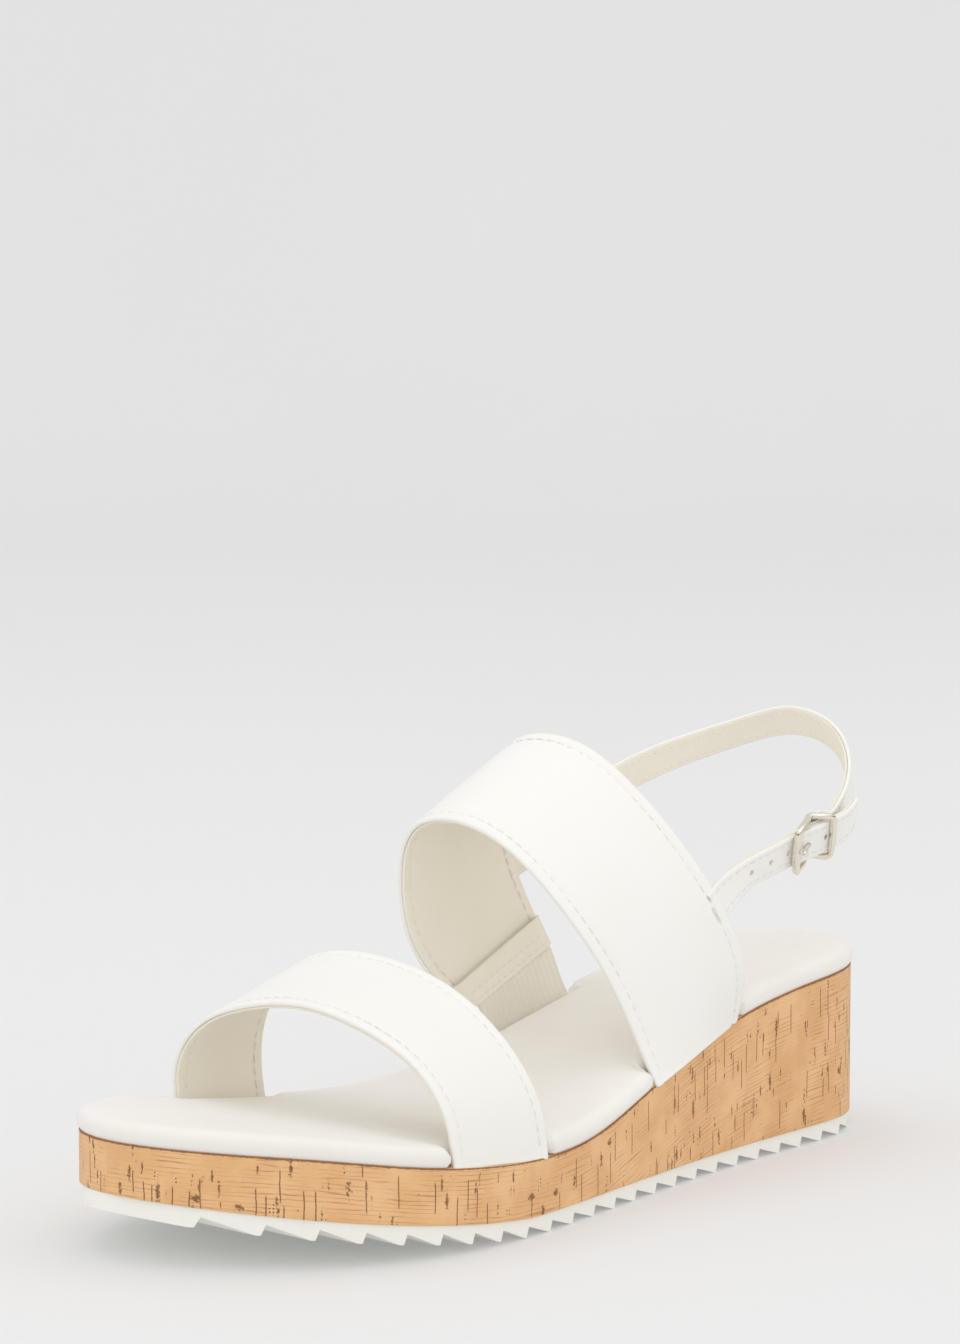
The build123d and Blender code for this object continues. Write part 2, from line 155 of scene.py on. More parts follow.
def sole_outline(count):
    """The sole's plan as evenly spaced points, outer side first, with the directions pointing out."""
    outer = [(r[1] * BALL_WIDTH, along(r[0]), 0) for r in SOLE_PLAN]
    inner = [(r[2] * BALL_WIDTH, along(r[0]), 0) for r in SOLE_PLAN[::-1]]
    ring = [(TOE_TIP * BALL_WIDTH, along(0), 0), *outer, (HEEL_TIP * BALL_WIDTH, along(1), 0), *inner]
    points = smooth_curve(ring, closed=True)(np.arange(count) / count)
    run = unit(np.roll(points, -1, axis=0) - np.roll(points, 1, axis=0))
    return points, np.stack([run[:, 1], -run[:, 0], run[:, 2]], -1)


def new_piece(name, points, faces, material, uv=None):
    """A smooth mesh from points in millimetres about the sole's middle. uv is one pair for each
    point. A closed shape is turned the right way round by the sign of its volume."""
    mesh = bpy.data.meshes.new(name)
    place = (np.asarray(points, float).reshape(-1, 3) + MIDDLE) / 1000
    mesh.from_pydata(place.tolist(), [], [list(map(int, f)) for f in faces])
    if uv is not None:
        corner = np.empty(len(mesh.loops), int)
        mesh.loops.foreach_get("vertex_index", corner)
        pairs = np.asarray(uv, float).reshape(-1, 2)[corner]
        mesh.uv_layers.new(name="UVMap").data.foreach_set("uv", pairs.ravel())
    work = bmesh.new()
    work.from_mesh(mesh)
    bmesh.ops.remove_doubles(work, verts=work.verts, dist=2e-6)
    if all(len(e.link_faces) == 2 for e in work.edges) and work.calc_volume(signed=True) < 0:
        bmesh.ops.reverse_faces(work, faces=work.faces)
    work.to_mesh(mesh)
    work.free()
    mesh.polygons.foreach_set("use_smooth", [True] * len(mesh.polygons))
    piece = bpy.data.objects.new(name, mesh)
    bpy.context.scene.collection.objects.link(piece)
    piece.data.materials.append(material)
    return piece


def quads_between(i):
    """Quads between neighbours in a table of point numbers."""
    return np.stack([i[:-1, :-1], i[1:, :-1], i[1:, 1:], i[:-1, 1:]], -1).reshape(-1, 4)


def grid_faces(rows, columns, first=0):
    """Quads between neighbours of a grid of points, row by row."""
    return quads_between(np.arange(rows * columns).reshape(rows, columns) + first)


def tube_faces(rings, sides, closed=False):
    """Faces of a tube made of rings of points: the quads round it, then a flat face at either end.
    A closed tube has quads from its last ring to its first instead of the ends."""
    i = np.arange(rings * sides).reshape(rings, sides)
    i = np.hstack([i, i[:, :1]])
    if closed:
        return quads_between(np.vstack([i, i[:1]])).tolist()
    last = (rings - 1) * sides
    return [*quads_between(i).tolist(), list(range(sides))[::-1], list(range(last, last + sides))]


def new_material(name, **sockets):
    """A material with one Principled shader and its plain socket values."""
    material = bpy.data.materials.new(name)
    material.use_nodes = True
    shader = material.node_tree.nodes["Principled BSDF"]
    for socket, value in sockets.items():
        shader.inputs[socket.replace("_", " ")].default_value = value
    return material, material.node_tree, shader


def node(tree, kind, inputs, **settings):
    """A node with its settings; each input is linked to another node's socket or set to a value."""
    made = tree.nodes.new("ShaderNode" + kind)
    for name, value in settings.items():
        setattr(made, name, value)
    for name, value in inputs.items():
        if isinstance(value, bpy.types.NodeSocket):
            tree.links.new(value, made.inputs[name])
        else:
            made.inputs[name].default_value = value
    return made


def ramp(tree, value, low, high, floor=0.0, ceiling=1.0):
    """A smooth step of a value between two levels."""
    step = node(tree, "MapRange", {"Value": value, "From Min": low, "From Max": high, "To Min": floor,
                                   "To Max": ceiling}, interpolation_type="SMOOTHSTEP")
    return step.outputs["Result"]


def math_node(tree, operation, a, b=0.0, c=0.0):
    return node(tree, "Math", {0: a, 1: b, 2: c}, operation=operation).outputs[0]


def times(tree, a, b):
    return math_node(tree, "MULTIPLY", a, b)


def mix(tree, share, a, b):
    """Colour a turning to colour b."""
    return node(tree, "Mix", {0: share, 6: a, 7: b}, data_type="RGBA").outputs[2]


def noise(tree, place, scale, detail=3.0, roughness=0.5, distortion=0.0):
    made = node(tree, "TexNoise", {"Vector": place, "Scale": scale, "Detail": detail, "Roughness": roughness,
                                   "Distortion": distortion})
    return made.outputs["Fac"]


def stretched(tree, place, x, y, moved=(0, 0, 0)):
    """Places scaled by x and y, then moved."""
    return node(tree, "Mapping", {"Vector": place, "Scale": (x, y, 1.0), "Location": moved}).outputs[0]


def bump(tree, shader, height, strength, distance):
    made = node(tree, "Bump", {"Height": height, "Strength": strength, "Distance": distance})
    tree.links.new(made.outputs["Normal"], shader.inputs["Normal"])


rubber, tree, shader = new_material(
    "outsole_rubber", Roughness=0.5, Specular_IOR_Level=0.4, Subsurface_Weight=0.12, Subsurface_Scale=0.002)
place = node(tree, "TexCoord", {}).outputs["Object"]
cloud = noise(tree, place, 90, 4)
speck = noise(tree, place, 2600, 2)
tint = mix(tree, cloud, (0.90, 0.90, 0.83, 1), (0.95, 0.945, 0.90, 1))
scuffs = ramp(tree, noise(tree, place, 420, 5, 0.7), 0.62, 0.78)
tree.links.new(mix(tree, scuffs, tint, (0.78, 0.78, 0.71, 1)), shader.inputs["Base Color"])
tree.links.new(ramp(tree, cloud, 0.3, 0.7, 0.46, 0.58), shader.inputs["Roughness"])
bump(tree, shader, math_node(tree, "ADD", speck, cloud), 0.25, 0.0001)

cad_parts["outsole"].data.materials.clear()
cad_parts["outsole"].data.materials.append(rubber)

# ---------------------------------------------------------------------------------------------
# The wedge: a light foam core, and round it a wrap of cork veneer, glued on with its top edge cut
# level with the core. The veneer is pieced from thin slices, with dark streaks and dotted flecks.
# ---------------------------------------------------------------------------------------------

RING = 900
RIM = 0.35
outline, outward = sole_outline(RING)
ring = np.vstack([outline, outline[:1]])
ring_out = np.vstack([outward, outward[:1]])
ring_run = gone_along(ring)

# Down the wrap's section: distance in from the sole's outline, and the share of the way down, with a
# fixed drop in millimetres.
wrap_section = np.array(
    [(5.5, 0, -0.03), (0.9, 0, -0.03), (RIM, 0, -0.02), (0.12, 0, 0.1), (0, 0, RIM)]
    + [(0, s, 0) for s in np.linspace(0.06, 0.94, 12)]
    + [(0, 1, -RIM), (0.12, 1, -0.1), (RIM, 1, 0.0), (1.2, 1, 0.0)])
top = wedge_top(ring[:, 1])
bottom = outsole_top(ring[:, 1])
levels = top - wrap_section[:, 1:2] * (top - bottom) - wrap_section[:, 2:3]
wrap_points = ring - wrap_section[:, 0, None, None] * ring_out
wrap_points[..., 2] = levels
wrap_uv = np.stack([np.broadcast_to(ring_run, levels.shape), top - levels], -1) / 10


cork, tree, shader = new_material(
    "cork_veneer", Roughness=0.55, Specular_IOR_Level=0.35, Coat_Weight=0.12, Coat_Roughness=0.35)
place = node(tree, "TexCoord", {}).outputs["UV"]
ripple = noise(tree, place, 1.1, 3)
shift = node(tree, "CombineXYZ", {"X": times(tree, ripple, 0.10), "Y": times(tree, ripple, 0.16)})
warped = node(tree, "VectorMath", {0: place, 1: shift.outputs[0]}, operation="ADD").outputs[0]
slices = node(tree, "TexBrick", {
    "Vector": warped, "Color1": (0, 0, 0, 1), "Color2": (1, 1, 1, 1), "Scale": 1.0, "Mortar Size": 0.0,
    "Bias": 0.0, "Brick Width": 3.4, "Row Height": 0.78}, offset=0.37).outputs["Color"]
fibre = noise(tree, stretched(tree, place, 2.4, 15.0), 2.0, 6, 0.62)
body = mix(tree, fibre, (0.66, 0.352, 0.143, 1), (0.93, 0.57, 0.28, 1))
body = mix(tree, times(tree, slices, 0.6), body, (0.73, 0.39, 0.155, 1))
body = mix(tree, ramp(tree, noise(tree, place, 0.8, 2), 0.35, 0.7, 0, 0.5), body, (0.95, 0.62, 0.32, 1))

# Growth lines: thin wavy dark lines along the slices, strong in some of them only.
lines = node(tree, "TexWave", {
    "Vector": stretched(tree, place, 0.22, 3.1), "Scale": 0.9, "Distortion": 7.0, "Detail": 3.0,
    "Detail Scale": 1.6, "Detail Roughness": 0.55}, bands_direction="Y").outputs["Fac"]
lines = ramp(tree, lines, 0.88, 1.0)
lines = times(tree, lines, ramp(tree, noise(tree, place, 0.9, 2), 0.42, 0.58, 0.1, 0.75))
body = mix(tree, lines, body, (0.50, 0.24, 0.09, 1))

# Streaks: narrow upright lens shapes, scattered cell by cell. Of each size: the cells' width and
# height in centimetres, the share of cells left empty, and how far their pattern is moved.
STREAKS = ((0.26, 1.05, 0.66, 0.0), (0.15, 0.75, 0.55, 5.3), (0.50, 0.42, 0.86, 9.1))
streaks = None
for width, height, empty, offset in STREAKS:
    cells = node(tree, "TexVoronoi", {
        "Vector": stretched(tree, warped, 1 / width, 1 / height, (offset, offset, 0)), "Scale": 1.0,
        "Randomness": 0.9})
    draw = node(tree, "SeparateColor", {"Color": cells.outputs["Color"]}).outputs[0]
    chosen = ramp(tree, draw, empty, empty + 0.01)
    ragged = math_node(tree, "ADD", cells.outputs["Distance"],
                       times(tree, noise(tree, place, 12, 4, 0.75), 0.95))
    lens = times(tree, ramp(tree, ragged, 0.62, 0.70, 1, 0), chosen)
    streaks = lens if streaks is None else math_node(tree, "MAXIMUM", streaks, lens)

# Cuts: hairline upright splits, and dotted flecks on a fine grid inside blots.
split_place = stretched(tree, warped, 2.6, 0.62)
splits = node(tree, "TexVoronoi", {"Vector": split_place, "Scale": 1.0, "Randomness": 1.0}, feature="F1")
off = node(tree, "VectorMath", {0: split_place, 1: splits.outputs["Position"]}, operation="SUBTRACT")
off = node(tree, "SeparateXYZ", {0: off.outputs[0]})
frayed = times(tree, noise(tree, place, 16, 4, 0.8), 0.09)
thin = math_node(tree, "SUBTRACT", math_node(tree, "ABSOLUTE", off.outputs["X"]), frayed)
thin = ramp(tree, thin, -0.02, 0.008, 1, 0)
short = ramp(tree, math_node(tree, "ABSOLUTE", off.outputs["Y"]), 0.20, 0.26, 1, 0)
picked = ramp(tree, node(tree, "SeparateColor", {"Color": splits.outputs["Color"]}).outputs[1], 0.40, 0.41)
hair = times(tree, times(tree, thin, short), picked)
dot_place = node(tree, "VectorMath", {0: stretched(tree, place, 11.5, 11.5)}, operation="FRACTION").outputs[0]
dot = node(tree, "VectorMath", {0: dot_place, 1: (0.5, 0.5, 0.0)}, operation="DISTANCE").outputs["Value"]
blot = noise(tree, stretched(tree, warped, 1.5, 0.95, (3, 7, 0)), 1.25, 4, 0.6)
blot = ramp(tree, blot, 0.655, 0.675)
dots = times(tree, ramp(tree, dot, 0.24, 0.34, 1, 0), blot)
flecks = ramp(tree, noise(tree, place, 11, 5, 0.75), 0.69, 0.74)

# The rim: a dark ragged band along the veneer's top edge, just under the footbed's edge.
depth = node(tree, "SeparateXYZ", {0: place}).outputs["Y"]
rim_noise = times(tree, noise(tree, place, 9, 4, 0.8), 0.085)
rim = ramp(tree, math_node(tree, "SUBTRACT", depth, rim_noise), -0.022, 0.002, 1, 0)
rim = times(tree, rim, ramp(tree, depth, -0.002, 0.002))
dark = streaks
for mark in (hair, dots, rim, times(tree, flecks, 0.8)):
    dark = math_node(tree, "MAXIMUM", dark, mark)
brown = mix(tree, noise(tree, place, 6, 3), (0.12, 0.045, 0.018, 1), (0.36, 0.16, 0.07, 1))
body = mix(tree, times(tree, blot, 0.35), body, (0.95, 0.65, 0.36, 1))
tree.links.new(mix(tree, times(tree, dark, 0.9), body, brown), shader.inputs["Base Color"])
tree.links.new(ramp(tree, dark, 0, 1, 0.5, 0.8), shader.inputs["Roughness"])
bump(tree, shader, math_node(tree, "SUBTRACT", times(tree, fibre, 0.35), dark), 0.5, 0.00018)

cork_wrap = new_piece("cork_wrap_veneer", wrap_points, grid_faces(*levels.shape), cork, uv=wrap_uv)
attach(cork_wrap, "sole_and_upper")
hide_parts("cork_wrap")


def plain_inside(name, slot, light, dark_tone, scale):
    """The look of a piece that lies inside: speckled foam or board."""
    material, tree, shader = new_material(slot + "_inside", Roughness=0.9)
    place = node(tree, "TexCoord", {}).outputs["Object"]
    cells = node(tree, "TexVoronoi", {"Vector": place, "Scale": scale}).outputs["Distance"]
    tree.links.new(mix(tree, cells, dark_tone, light), shader.inputs["Base Color"])
    bump(tree, shader, cells, 0.4, 0.0002)
    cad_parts[name].data.materials.clear()
    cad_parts[name].data.materials.append(material)


plain_inside("wedge_core", "wedge_foam", (0.78, 0.72, 0.60, 1), (0.60, 0.53, 0.42, 1), 900)
plain_inside("insole_board", "fibre_board", (0.50, 0.38, 0.27, 1), (0.33, 0.24, 0.16, 1), 1800)

# ---------------------------------------------------------------------------------------------
# The footbed: a soft foam pad wrapped in thin white leather, glued on the board. Its edge rolls over
# the cork's rim, and is drawn in where the bands and the elastic come up beside it.
# ---------------------------------------------------------------------------------------------

PAD_HEIGHT = 5.5
PAD_BULGE = -0.5
PAD_DRAWN_IN = 4.05
PAD_ROLL = 3.4
PAD_UNDER_ROLL = 1.3
PAD_BELLY = 2.1
PAD_CROWN = 0.35
PAD_CROWN_RUN = 9.0
PAD_GLUE = 0.06
FOOT_EASE = 0.007
# Where the bands stand: side (1 outer, -1 inner), first and last share of the sole's length.
BAND_FEET = ((1, 0.242, 0.376), (1, 0.571, 0.729), (-1, 0.215, 0.329), (-1, 0.586, 0.703))


def leather_grain():
    """A group that gives leather its fine pebble height and a slow drift of tone, both 0 to 1. The
    pebbles' cells are bent out of shape by the square of a noise, added to the place."""
    group = bpy.data.node_groups.new("leather_grain", "ShaderNodeTree")
    group.interface.new_socket("Pebbles", in_out="INPUT", socket_type="NodeSocketFloat")
    group.interface.new_socket("Drift", in_out="INPUT", socket_type="NodeSocketFloat")
    group.interface.new_socket("Height", in_out="OUTPUT", socket_type="NodeSocketFloat")
    group.interface.new_socket("Tone", in_out="OUTPUT", socket_type="NodeSocketFloat")
    given = group.nodes.new("NodeGroupInput")
    out = group.nodes.new("NodeGroupOutput")
    place = node(group, "TexCoord", {}).outputs["Object"]
    blur = node(group, "TexNoise", {"Vector": place, "Scale": 700.0}).outputs["Color"]
    bent = node(group, "VectorMath", {0: blur, 1: blur, 2: place}, operation="MULTIPLY_ADD").outputs[0]
    cells = node(group, "TexVoronoi", {"Vector": bent, "Scale": given.outputs[0]}).outputs["Distance"]
    fine = noise(group, place, 3200, 2)
    height = math_node(group, "MULTIPLY_ADD", fine, 0.35, math_node(group, "POWER", cells, 1.5))
    group.links.new(height, out.inputs[0])
    group.links.new(noise(group, place, given.outputs[1], 3), out.inputs[1])
    return group


grain = leather_grain()


def leather(name, light, shaded, pebbles, drift, strength, roughness, coat):
    """Smooth coated leather: fine pebbles, a slow drift between two tones, and a soft gloss."""
    material, tree, shader = new_material(
        name, Roughness=roughness, Specular_IOR_Level=0.42, Coat_Weight=coat, Coat_Roughness=0.32,
        Sheen_Weight=0.06)
    look = tree.nodes.new("ShaderNodeGroup")
    look.node_tree = grain
    look.inputs["Pebbles"].default_value = pebbles
    look.inputs["Drift"].default_value = drift
    tree.links.new(mix(tree, ramp(tree, look.outputs["Tone"], 0.3, 0.7), light, shaded),
                   shader.inputs["Base Color"])
    tree.links.new(ramp(tree, look.outputs["Height"], 0.1, 0.8, roughness - 0.05, roughness + 0.08),
                   shader.inputs["Roughness"])
    bump(tree, shader, look.outputs["Height"], strength, 0.0001)
    return material


footbed_leather = leather(
    "footbed_leather", (0.92, 0.895, 0.85, 1), (0.89, 0.86, 0.81, 1), 1500, 28, 0.22, 0.5, 0.05)


def pad_outline(count):
    """The pad's plan: the sole's outline moved out by the bulge, and in beside each band's foot, with
    an easing of a few millimetres at both ends of each foot."""
    points, out = sole_outline(count)
    share = points[:, 1] / SOLE_LENGTH + 0.5
    drawn = np.zeros(count)
    for side, first, last in BAND_FEET:
        here = (np.clip((share - first + FOOT_EASE) / FOOT_EASE, 0, 1)
                * np.clip((last + FOOT_EASE - share) / FOOT_EASE, 0, 1))
        here = here * here * (3 - 2 * here) * (np.sign(points[:, 0]) == side)
        drawn = np.maximum(drawn, here)
    return points - out * (PAD_BULGE + (PAD_DRAWN_IN - PAD_BULGE) * drawn)[:, None]


# The outline, turned to start at the toe, in two sides; then rows across it, closer near the ends.
edge = pad_outline(1600)
edge = np.roll(edge, -int(edge[:, 1].argmin()), axis=0)
split = int(edge[:, 1].argmax())
outer_side, inner_side = edge[:split + 1], np.vstack([edge[split:], edge[:1]])[::-1]
stations = 260
columns = 81
turn = np.linspace(0, np.pi, stations)
y_low, y_high = edge[:, 1].min(), edge[:, 1].max()
row_y = (y_low + y_high) / 2 - np.cos(turn) * (y_high - y_low) / 2
row_outer = np.interp(row_y, np.maximum.accumulate(outer_side[:, 1]), outer_side[:, 0])
row_inner = np.interp(row_y, np.maximum.accumulate(inner_side[:, 1]), inner_side[:, 0])
across = np.sin(np.linspace(-np.pi / 2, np.pi / 2, columns))
pad_x = (row_outer + row_inner)[:, None] / 2 + (row_outer - row_inner)[:, None] / 2 * across
pad_y = np.broadcast_to(row_y[:, None], pad_x.shape)

# Each point's distance from the edge, measured square to the nearest part of the outline.
flat = np.stack([pad_x, pad_y], -1).reshape(-1, 2)
ahead = np.roll(edge, -1, axis=0)[:, :2] - np.roll(edge, 1, axis=0)[:, :2]
square = unit(np.stack([ahead[:, 1], -ahead[:, 0]], -1))
gap = []
for part in np.array_split(flat, 40):
    away = part[:, None] - edge[None, :, :2]
    nearest = (away**2).sum(-1).argmin(1)
    gap.append(np.abs((away[np.arange(len(part)), nearest] * square[nearest]).sum(1)))
gap = np.concatenate(gap).reshape(pad_x.shape)
gap[:, 0] = gap[:, -1] = 0
gap[0] = gap[-1] = 0
roll = np.sqrt(np.clip(1 - (1 - np.clip(gap / PAD_ROLL, 0, 1)) ** 2, 0, 1))
under = np.sqrt(np.clip(1 - (1 - np.clip(gap / PAD_UNDER_ROLL, 0, 1)) ** 2, 0, 1))
base = wedge_top(pad_y)
crown = PAD_CROWN * (1 - np.exp(-gap / PAD_CROWN_RUN))
pad_top = base + PAD_BELLY + (PAD_HEIGHT - PAD_BELLY - PAD_CROWN) * roll + crown
pad_under = base + PAD_BELLY - (PAD_BELLY - PAD_GLUE) * under
top_sheet = np.stack([pad_x, pad_y, pad_top], -1)
under_sheet = np.stack([pad_x, pad_y, pad_under], -1)
size = stations * columns
faces = np.vstack([grid_faces(stations, columns), grid_faces(stations, columns, size)[:, ::-1]])
footbed = new_piece("footbed_pad", np.concatenate([top_sheet.reshape(-1, 3), under_sheet.reshape(-1, 3)]),
                    faces, footbed_leather)


def puff(piece, pressure, steps, most, hold):
    """Fills a pad by cloth simulation: the points that hold() names stay, pressure swells the rest,
    and no point moves further than most millimetres."""
    rest = np.array([v.co for v in piece.data.vertices])
    still = piece.vertex_groups.new(name="held")
    still.add([int(i) for i in np.nonzero(hold(rest * 1000 - MIDDLE))[0]], 1.0, "REPLACE")
    cloth = piece.modifiers.new("filling", "CLOTH")
    settings = cloth.settings
    settings.use_pressure = True
    settings.uniform_pressure_force = pressure
    settings.vertex_group_mass = "held"
    settings.effector_weights.gravity = 0
    settings.mass = 0.05
    settings.tension_stiffness = settings.compression_stiffness = 25
    settings.shear_stiffness = 12
    settings.bending_stiffness = 0.6
    settings.quality = 6
    cloth.point_cache.frame_end = steps
    for step in range(1, steps + 1):
        bpy.context.scene.frame_set(step)
    swollen = piece.evaluated_get(bpy.context.evaluated_depsgraph_get())
    moved = np.array([v.co for v in swollen.data.vertices]) - rest
    piece.modifiers.remove(cloth)
    piece.vertex_groups.clear()
    bpy.context.scene.frame_set(1)
    far = np.linalg.norm(moved, axis=1, keepdims=True)
    moved *= np.minimum(1, most / 1000 / np.maximum(far, 1e-9))
    piece.data.vertices.foreach_set("co", (rest + moved).astype(np.float32).ravel())
    piece.data.update()


puff(footbed, 2.0, 12, 0.5, lambda p: p[:, 2] < wedge_top(p[:, 1]) + PAD_BELLY + 0.4)
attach(footbed, "sole_and_upper")
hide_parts("footbed_cover", "footbed_foam")

# ---------------------------------------------------------------------------------------------
# The vamp band: white leather folded over at its front and rear edges, closed by a stitch row close
# to each fold. Both ends go down between the cork and the footbed, where they are glued.
# ---------------------------------------------------------------------------------------------

FOOT_LIFT = 0.9
VAMP_RISE = 32.5
LEATHER = 1.1
LINING = 0.8
LINING_SETBACK = 0.5
GLUE = 0.06
BAND_DEPTH = LEATHER + GLUE + LINING
CROWN = 0.25
WOBBLE = 0.16
FOOT_DEPTH = 1.3
STITCH_SINK = 0.02

upper_leather = leather(
    "upper_leather", (0.94, 0.93, 0.895, 1), (0.925, 0.912, 0.87, 1), 1150, 22, 0.20, 0.44, 0.08)
lining_leather = leather(
    "lining_leather", (0.945, 0.90, 0.79, 1), (0.92, 0.87, 0.755, 1), 1900, 35, 0.35, 0.72, 0.0)

thread, tree, shader = new_material("thread", Roughness=0.6)
place = node(tree, "TexCoord", {}).outputs["Object"]
twist = node(tree, "TexWave", {"Vector": place, "Scale": 420.0, "Distortion": 1.0},
             bands_direction="DIAGONAL")
tree.links.new(mix(tree, twist.outputs["Fac"], (0.80, 0.785, 0.74, 1), (0.90, 0.89, 0.85, 1)),
               shader.inputs["Base Color"])
bump(tree, shader, twist.outputs["Fac"], 0.6, 0.0001)


def sole_edge(share, side):
    """Foot of a band: the point at the sole's edge, at the wedge's top. side is 1 outer, -1 inner."""
    y = along(share)
    x = np.interp(share, SOLE_PLAN[:, 0], SOLE_PLAN[:, 1 if side > 0 else 2]) * BALL_WIDTH
    return np.array([x, y, np.interp(share, WEDGE_CLIMB[:, 0], WEDGE_CLIMB[:, 1])
                     * (HEEL_HEIGHT - PLATFORM_HEIGHT) + outsole_top(y) + PLATFORM_HEIGHT + FOOT_LIFT])


def band_edge(outer_foot, inner_foot, rise, shape):
    """One edge of a band. shape lists (across, forward, up): across runs from 1 at the outer foot to
    -1 at the inner, forward moves the point to the toe in millimetres, up is a share of the rise."""
    shape = np.array(shape)
    base = outer_foot + (inner_foot - outer_foot) * ((1 - shape[:, :1]) / 2)
    lift = np.stack([0 * shape[:, 1], -shape[:, 1], shape[:, 2] * rise], -1)
    return smooth_curve([outer_foot, *(base + lift), inner_foot])


def ribbon(front, rear, count, first=0.0, last=1.0, drop=(0, 0)):
    """The frames of a strip between two edge curves: near edge, direction across, direction out and
    width, at even steps. drop lets both ends run on, straight, by so many millimetres."""
    t = np.linspace(first, last, count)
    f, r = front(t), rear(t)
    if drop[0]:
        f, r = (np.vstack([e[0] + unit(e[0] - e[1]) * drop[0], e]) for e in (f, r))
    if drop[1]:
        f, r = (np.vstack([e, e[-1] + unit(e[-1] - e[-2]) * drop[1]]) for e in (f, r))
    width = np.linalg.norm(r - f, axis=1)
    side = (r - f) / width[:, None]
    return f, side, unit(np.cross(side, np.gradient((f + r) / 2, axis=0))), width


def strip_section(depth, thick, edge, shares):
    """A strip's section: (fixed millimetres, share of the width, depth under the outer face). edge is
    the outer face from an edge inwards, as (millimetres, height); the inner face is flat."""
    edge = np.array(edge)
    bow = thick / 2
    under = [(0.05, depth + bow + 0.25 * thick), (0.22, depth + thick * 0.94), (0.5, depth + thick),
             (edge[-1, 0], depth + thick)]
    front = [(x, 0, depth - h) for x, h in edge]
    middle = [(0, s, depth) for s in shares]
    rear = [(-x, 1, depth - h) for x, h in edge[::-1]]
    return np.array(front + middle + rear + [(-x, 1, d) for x, d in under]
                    + [(0, s, depth + thick) for s in shares[::-1]] + [(x, 0, d) for x, d in under[::-1]])


def carry(strip, section, crown=0.0, wobble=0.0):
    """The section carried along a strip. crown bows the middle outwards, and wobble adds the slow
    hollows of soft leather as a sum of three sines."""
    near, side, out, width = strip
    x = section[:, 0] + section[:, 1] * width[:, None]
    share = x / width[:, None]
    gone = gone_along(near)[:, None]
    wave = (np.sin(gone / 7.3 + x / 9.1) + np.sin(gone / 11.9 - x / 6.7 + 1.3)
            + np.sin(gone / 4.9 + x / 14 + 2.1))
    deep = section[:, 2] - crown * (1 - (2 * share - 1) ** 2) - wobble * wave / 3
    return near[:, None] + side[:, None] * x[..., None] - out[:, None] * deep[..., None]


def solid_strip(name, strip, section, material, crown=0.0, wobble=0.0):
    """A closed strip: the carried section's ring all the way, and a flat end at both ends."""
    grid = carry(strip, section, crown, wobble)
    return new_piece(name, grid, tube_faces(*grid.shape[:2]), material)


# The folded edge seen in section: rounded, a little proud where the leather is double, and drawn down
# along the stitch row.
FOLD = [(0.0, -0.55), (0.03, -0.34), (0.12, -0.14), (0.3, 0.0), (0.6, 0.1), (1.1, 0.17), (1.8, 0.16),
        (2.3, 0.07), (2.7, -0.07), (3.0, -0.1), (3.3, -0.07), (3.8, 0.0), (4.8, 0.02), (5.8, 0.0)]
STITCH_FROM_EDGE = 3.0
BAND_SHARES = np.linspace(0.27, 0.73, 11)
OUTSIDE = strip_section(0, LEATHER, FOLD, BAND_SHARES)


def lining_section(depth, thick):
    """The lining's section: plain, with small rounded edges, and drawn in under the stitch rows."""
    low = depth + thick
    edge = [(0.0, depth + thick / 2), (0.05, depth + 0.12), (0.2, depth + 0.02), (0.6, depth), (4.5, depth)]
    under = [(4.5, low), (3.5, low), (3.0, low - 0.12), (2.5, low - 0.02), (0.7, low), (0.25, low - 0.04),
             (0.06, low - 0.2)]
    edge, under = ([(x + LINING_SETBACK, d) for x, d in row] for row in (edge, under))
    return np.array(
        [(x, 0, d) for x, d in edge] + [(0, s, depth) for s in BAND_SHARES]
        + [(-x, 1, d) for x, d in edge[::-1] + under[::-1]]
        + [(0, s, low) for s in BAND_SHARES[::-1]] + [(x, 0, d) for x, d in under])


def stitches(name, rows, length, gap, radius, material=thread):
    """Stitches along lines: each row is (points, directions out). A stitch is a bead of six rings of
    seven points, thinner at its ends, where it dives into the leather."""
    reach = np.array([-1.0, -0.86, -0.4, 0.4, 0.86, 1.0])
    girth = np.array([0.35, 0.8, 1.0, 1.0, 0.8, 0.35])
    dive = -0.75 * np.abs(reach) ** 4
    sides = 7
    angle = np.arange(sides) * 2 * np.pi / sides
    bead_size = len(reach) * sides
    bead_faces = tube_faces(len(reach), sides)
    quads, ends = np.array(bead_faces[:-2]), np.array(bead_faces[-2:])
    all_points, all_faces, used = [], [], 0
    for points, outs in rows:
        gone = gone_along(points)
        count = int(gone[-1] // (length + gap))
        middle = (np.arange(count) + 0.5) * gone[-1] / count
        centre, before, after, up = (
            np.stack([np.interp(where, gone, c) for c in line.T], -1) for line, where in (
                (points, middle), (points, middle - 0.4), (points, middle + 0.4), (outs, middle)))
        run = unit(after - before)
        up = square_to(run, up)
        side = np.cross(up, run)
        bead = (run[:, None, None] * (reach[:, None, None] * length / 2)
                + side[:, None, None] * (girth[:, None] * np.cos(angle) * radius)[..., None]
                + up[:, None, None] * ((girth[:, None] * np.sin(angle) + dive[:, None]) * radius)[..., None])
        all_points.append((centre[:, None, None] + bead).reshape(-1, 3))
        block = np.arange(count)[:, None, None] * bead_size + used
        all_faces += (quads + block).reshape(-1, 4).tolist() + (ends + block).reshape(-1, sides).tolist()
        used += count * bead_size
    return new_piece(name, np.concatenate(all_points), all_faces, material)


